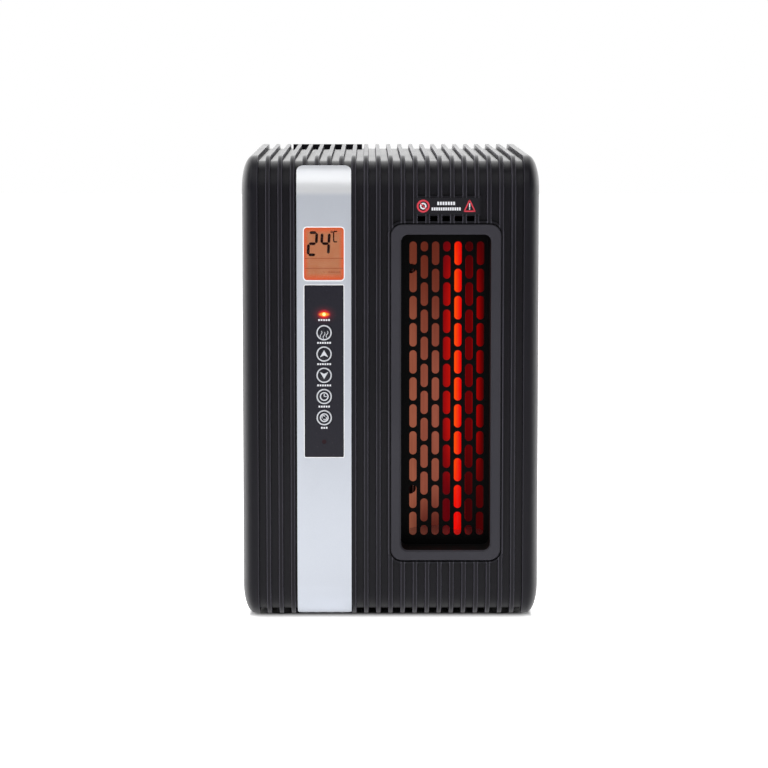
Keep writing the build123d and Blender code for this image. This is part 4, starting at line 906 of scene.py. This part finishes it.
def key_ring(x, z):
    """The raised silver ring: a small crowned profile turned once round the key's axis."""
    count = 96
    turn = np.linspace(0, 2 * np.pi, count, endpoint=False)
    profile = np.array([
        (4.5, 0.02), (4.54, -0.045), (4.62, -0.07), (4.9, -0.08), (5.16, -0.065), (5.3, 0.0),
        (5.36, 0.12), (5.41, 0.3), (5.2, 0.3), (5.0, 0.02),
    ]) * MM
    r, d = profile[:, 0], profile[:, 1]
    x_all = x + np.outer(np.cos(turn), r)
    z_all = z + np.outer(np.sin(turn), r)
    y_all = np.broadcast_to(key_face + d, x_all.shape)
    points = np.stack([x_all, y_all, z_all], axis=2).reshape(-1, 3)
    return points, grid_faces(count, len(profile), close_rows=True, close_columns=True)


def caption(x, z, y, widths, height, gap):
    """A row of short bars of given widths, standing for a printed word."""
    total = sum(widths) + gap * (len(widths) - 1)
    parts, left = [], x - total / 2
    for width in widths:
        parts.append(stroke([(left, z), (left + width, z)], height, y, PRINT))
        left += width + gap
    return parts


def build_keys():
    """Each key's ring and sign, riding on its own button, and the words' bars, printed on the overlay."""
    signs = {
        "heat": (heat_icon, 6),
        "warmer": (lambda x, z, y: arrow_icon(x, z, y, 1), 6),
        "cooler": (lambda x, z, y: arrow_icon(x, z, y, -1), 6),
        "timer": (timer_icon, 5),
        "eco": (eco_icon, 3),
    }
    print_y = overlay_face + PRINT_SINK
    words = []
    for name, (sign, bars) in signs.items():
        x, _, z = middle(name + "_key")
        outward(new_piece(name + "_ring", *key_ring(x, z), silver_ink, name + "_button", "key_black", True))
        printed(name + "_icon", sign(x, z, key_face + PRINT_SINK), silver_ink, name + "_button", "key_black")
        words += caption(x, z - 7.2 * MM, print_y, [1.15 * MM] * bars, 1.25 * MM, 0.55 * MM)
    words += caption(led_mid[0], led_mid[2] - 4.0 * MM, print_y, [1.2 * MM] * 5, 1.25 * MM, 0.55 * MM)
    printed("panel_captions", words, white_ink, "casing", "overlay_black")


# ------------------------------------------------------------------ badge
RED_PRINT = 0.05 * MM        # the red signs are printed thicker


def build_badge():
    """A barred ring and a triangle in red, with white marks in them, and two rows of white bars."""
    y = badge_low[1] + PRINT_SINK
    mid_z = (badge_low[2] + badge_high[2]) / 2
    ring_x = badge_low[0] + 5.4 * MM
    sign_x = badge_high[0] - 7.0 * MM
    red = [disc_ring((ring_x, mid_z), 3.3 * MM, 4.5 * MM, y, RED_PRINT)]
    slash = [(ring_x - 2.5 * MM, mid_z + 2.5 * MM), (ring_x + 2.5 * MM, mid_z - 2.5 * MM)]
    red.append(stroke(slash, 0.8 * MM, y - 0.01 * MM, RED_PRINT))
    low, high, half = mid_z - 3.6 * MM, mid_z + 4.2 * MM, 3.7 * MM
    red.append(stroke([(sign_x - half, low), (sign_x, high)], 0.85 * MM, y, RED_PRINT))
    red.append(stroke([(sign_x, high), (sign_x + half, low)], 0.85 * MM, y, RED_PRINT))
    foot = [(sign_x - half - 0.3 * MM, low), (sign_x + half + 0.3 * MM, low)]
    red.append(stroke(foot, 0.95 * MM, y, RED_PRINT))
    printed("badge_signs", red, red_ink, "casing", "badge_black")
    white = [stroke([(sign_x, mid_z + 1.9 * MM), (sign_x, mid_z - 1.0 * MM)], 0.8 * MM, y, PRINT)]
    white.append(stroke([(sign_x, mid_z - 1.6 * MM), (sign_x, mid_z - 2.4 * MM)], 0.8 * MM, y, PRINT))
    white.append(disc_ring((ring_x, mid_z), 1.3 * MM, 2.3 * MM, y, PRINT, 40))
    text_x = (ring_x + sign_x) / 2 - 0.2 * MM
    white += caption(text_x, mid_z + 1.9 * MM, y, [1.3 * MM] * 7, 2.3 * MM, 0.55 * MM)
    white += caption(text_x, mid_z - 2.0 * MM, y, [1.15 * MM] * 13, 2.1 * MM, 0.45 * MM)
    printed("badge_bars", white, white_ink, "casing", "badge_black")


# ------------------------------------------------------------------ coil and filter
def build_coil():
    """The heating wire: a circle of the wire's radius carried along a helix round the tube's axis.

    At angle a the helix is at (R cos a, R sin a, pitch a / 2 pi); the wire's circle lies in the plane of the
    outward radius and of the axis.
    """
    wire, pitch, around = 0.55 * MM, 2.6 * MM, 8
    radius = (coil_high[0] - coil_low[0]) / 2 - wire
    margin = 6 * MM
    length = coil_high[2] - coil_low[2] - 2 * margin
    turns = length / pitch
    steps = int(turns * 20)
    angle = np.linspace(0, 2 * np.pi * turns, steps)
    ring = np.linspace(0, 2 * np.pi, around, endpoint=False)
    reach = radius + wire * np.cos(ring)[None, :]
    x = tube_mid[0] + reach * np.cos(angle)[:, None]
    y = tube_mid[1] + reach * np.sin(angle)[:, None]
    z = coil_low[2] + margin + (pitch * angle / (2 * np.pi))[:, None] + wire * np.sin(ring)[None, :]
    points = np.stack([x, y, z], axis=2).reshape(-1, 3)
    faces = [list(face) for face in grid_faces(steps, around, close_columns=True)]
    last = (steps - 1) * around
    faces += [list(range(around)), [last + i for i in range(around)][::-1]]
    coil = outward(new_piece("wound_coil", points, faces, finishes["coil_wire"], "casing", "coil_wire", True))
    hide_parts("heating_coil")


def build_filter():
    """The mat: a sheet folded into shallow waves, closed to a solid by a second surface behind it.

    Depth is a rounded wave along X with a little unevenness along Z, faded to the flat rim at the edges.
    """
    columns, rows = 181, 90
    u, v = np.linspace(0, 1, columns), np.linspace(0, 1, rows)
    u, v = np.meshgrid(u, v)
    x = mat_low[0] + u * (mat_high[0] - mat_low[0])
    z = mat_low[2] + v * (mat_high[2] - mat_low[2])
    fade = np.clip(np.minimum(np.minimum(u, 1 - u) * 25, np.minimum(v, 1 - v) * 34), 0, 1)
    wave = 0.5 + 0.5 * np.cos(2 * np.pi * 20 * u) + 0.08 * np.sin(23 * v + 9 * u)
    thick = mat_high[1] - mat_low[1]
    near = mat_low[1] + 0.35 * MM + thick * 0.3 * (1 - fade * np.clip(wave, 0, 1))
    far = mat_high[1] - 0.1 * MM - thick * 0.3 * fade * np.clip(wave, 0, 1)
    front_side = np.stack([x, near, z], axis=2).reshape(-1, 3)
    back_side = np.stack([x, far, z], axis=2).reshape(-1, 3)
    faces = grid_faces(rows, columns)
    count = rows * columns
    index = np.arange(count).reshape(rows, columns)
    border = np.concatenate([index[0, :-1], index[:-1, -1], index[-1, :0:-1], index[:0:-1, 0]])
    walls = np.stack([border, np.roll(border, -1), np.roll(border, -1) + count, border + count], axis=1)
    points = np.vstack([front_side, back_side])
    everything = np.vstack([faces, faces[:, ::-1] + count, walls])
    fibre = finishes["filter_grey"]
    mat = outward(new_piece("pleated_mat", points, everything, fibre, "intake_door", "filter_grey", True))
    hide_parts("filter_mat")


# ------------------------------------------------------------------ studio
def build_floor():
    """A large pale sheet, lit from within to read as white paper, but not far in front, nor under the case,
    where the unlit patch is a painted shadow.
    """
    finish = Finish("studio_paper", Roughness=0.9, Specular_IOR_Level=0.0)
    tone = finish.noise(3.0)
    finish.feed(Base_Color=finish.blend(tone, (0.78, 0.78, 0.79), (0.8, 0.8, 0.8)))
    sideways, depth, _ = finish.axes()
    half_width, half_depth = case_high[0], case_high[1]
    reach = ((abs(sideways) - half_width) * 6.0).most(abs(depth) - half_depth)
    beyond = depth.step(-1.2, -0.45) * 0.84 + 0.05
    # painted shadow: the floor's glow is off under the case's footprint
    glow_with_painted_shadow = finish.blend(reach.step(-34 * MM, -12 * MM) * beyond, (0.0, 0.0, 0.0), (1.0, 1.0, 1.0))
    finish.feed(Emission_Color=glow_with_painted_shadow, Emission_Strength=1.0)
    half = 6.0
    mesh = bpy.data.meshes.new("floor")
    sheet = [(-half, -half, 0), (half, -half, 0), (half, half, 0), (-half, half, 0)]
    mesh.from_pydata(sheet, [], [(0, 1, 2, 3)])
    mesh.materials.append(finish.material)
    floor = bpy.data.objects.new("floor", mesh)
    bpy.context.scene.collection.objects.link(floor)


def area_light(name, place, aim, size, power):
    """A rectangular lamp at a place, turned to face a point."""
    data = bpy.data.lights.new(name, "AREA")
    data.shape = "RECTANGLE"
    data.size, data.size_y = size
    data.energy = power
    lamp = bpy.data.objects.new(name, data)
    lamp.location = place
    lamp.rotation_euler = (Vector(aim) - Vector(place)).to_track_quat("-Z", "Y").to_euler()
    bpy.context.scene.collection.objects.link(lamp)


def build_world():
    """White to the eye; as light, bright behind and above, and dim on the camera's side."""
    world = bpy.data.worlds.new("studio")
    bpy.context.scene.world = world
    world.use_nodes = True
    sky = Nodes(world.node_tree)
    depth = sky.split(sky.node("ShaderNodeTexCoord", output="Generated"))[1]
    back = sky.node(
        "ShaderNodeMapRange",
        {"interpolation_type": "SMOOTHSTEP"},
        {"Value": depth, "From Min": -0.1, "From Max": 0.6, "To Min": 0.1, "To Max": 2.4},
    )
    to_camera = sky.node("ShaderNodeLightPath", output="Is Camera Ray")
    background = sky.tree.nodes["Background"]
    sky.join(background.inputs["Color"], (1.0, 1.0, 1.0))
    sky.join(background.inputs["Strength"], sky.node("ShaderNodeMix", inputs={0: to_camera, 2: back, 3: 1.0}))


def build_camera():
    """The eye stands a little left of the middle and above the top, looking slightly down."""
    distance, tilt, yaw = 2.12885, 6.392, 0.304
    data = bpy.data.cameras.new("camera")
    data.lens = 142.57
    data.sensor_width = 36.0
    camera = bpy.data.objects.new("camera", data)
    camera.location = (-0.016, front_y - distance, 0.4082)
    camera.rotation_euler = (math.radians(90 - tilt), 0, -math.radians(yaw))
    bpy.context.scene.collection.objects.link(camera)
    bpy.context.scene.camera = camera


def build_studio():
    """Floor, surroundings, four lamps and the camera."""
    build_floor()
    build_world()
    aim = (0, 0, top_z / 2)
    area_light("overhead", (-0.5, -0.8, 1.6), (0, -0.1, top_z), (2.4, 1.3), 17)
    area_light("front_fill", (0.2, -2.6, 1.2), aim, (2.6, 1.6), 9)
    area_light("left_strip", (-1.5, -0.7, 0.7), aim, (0.5, 1.6), 5)
    area_light("right_strip", (1.5, -0.7, 0.7), aim, (0.5, 1.6), 2.5)
    bpy.context.scene.view_settings.view_transform = "Standard"
    build_camera()


dress_cad_nodes()
build_display()
build_rims()
build_keys()
build_badge()
build_coil()
build_filter()
build_studio()
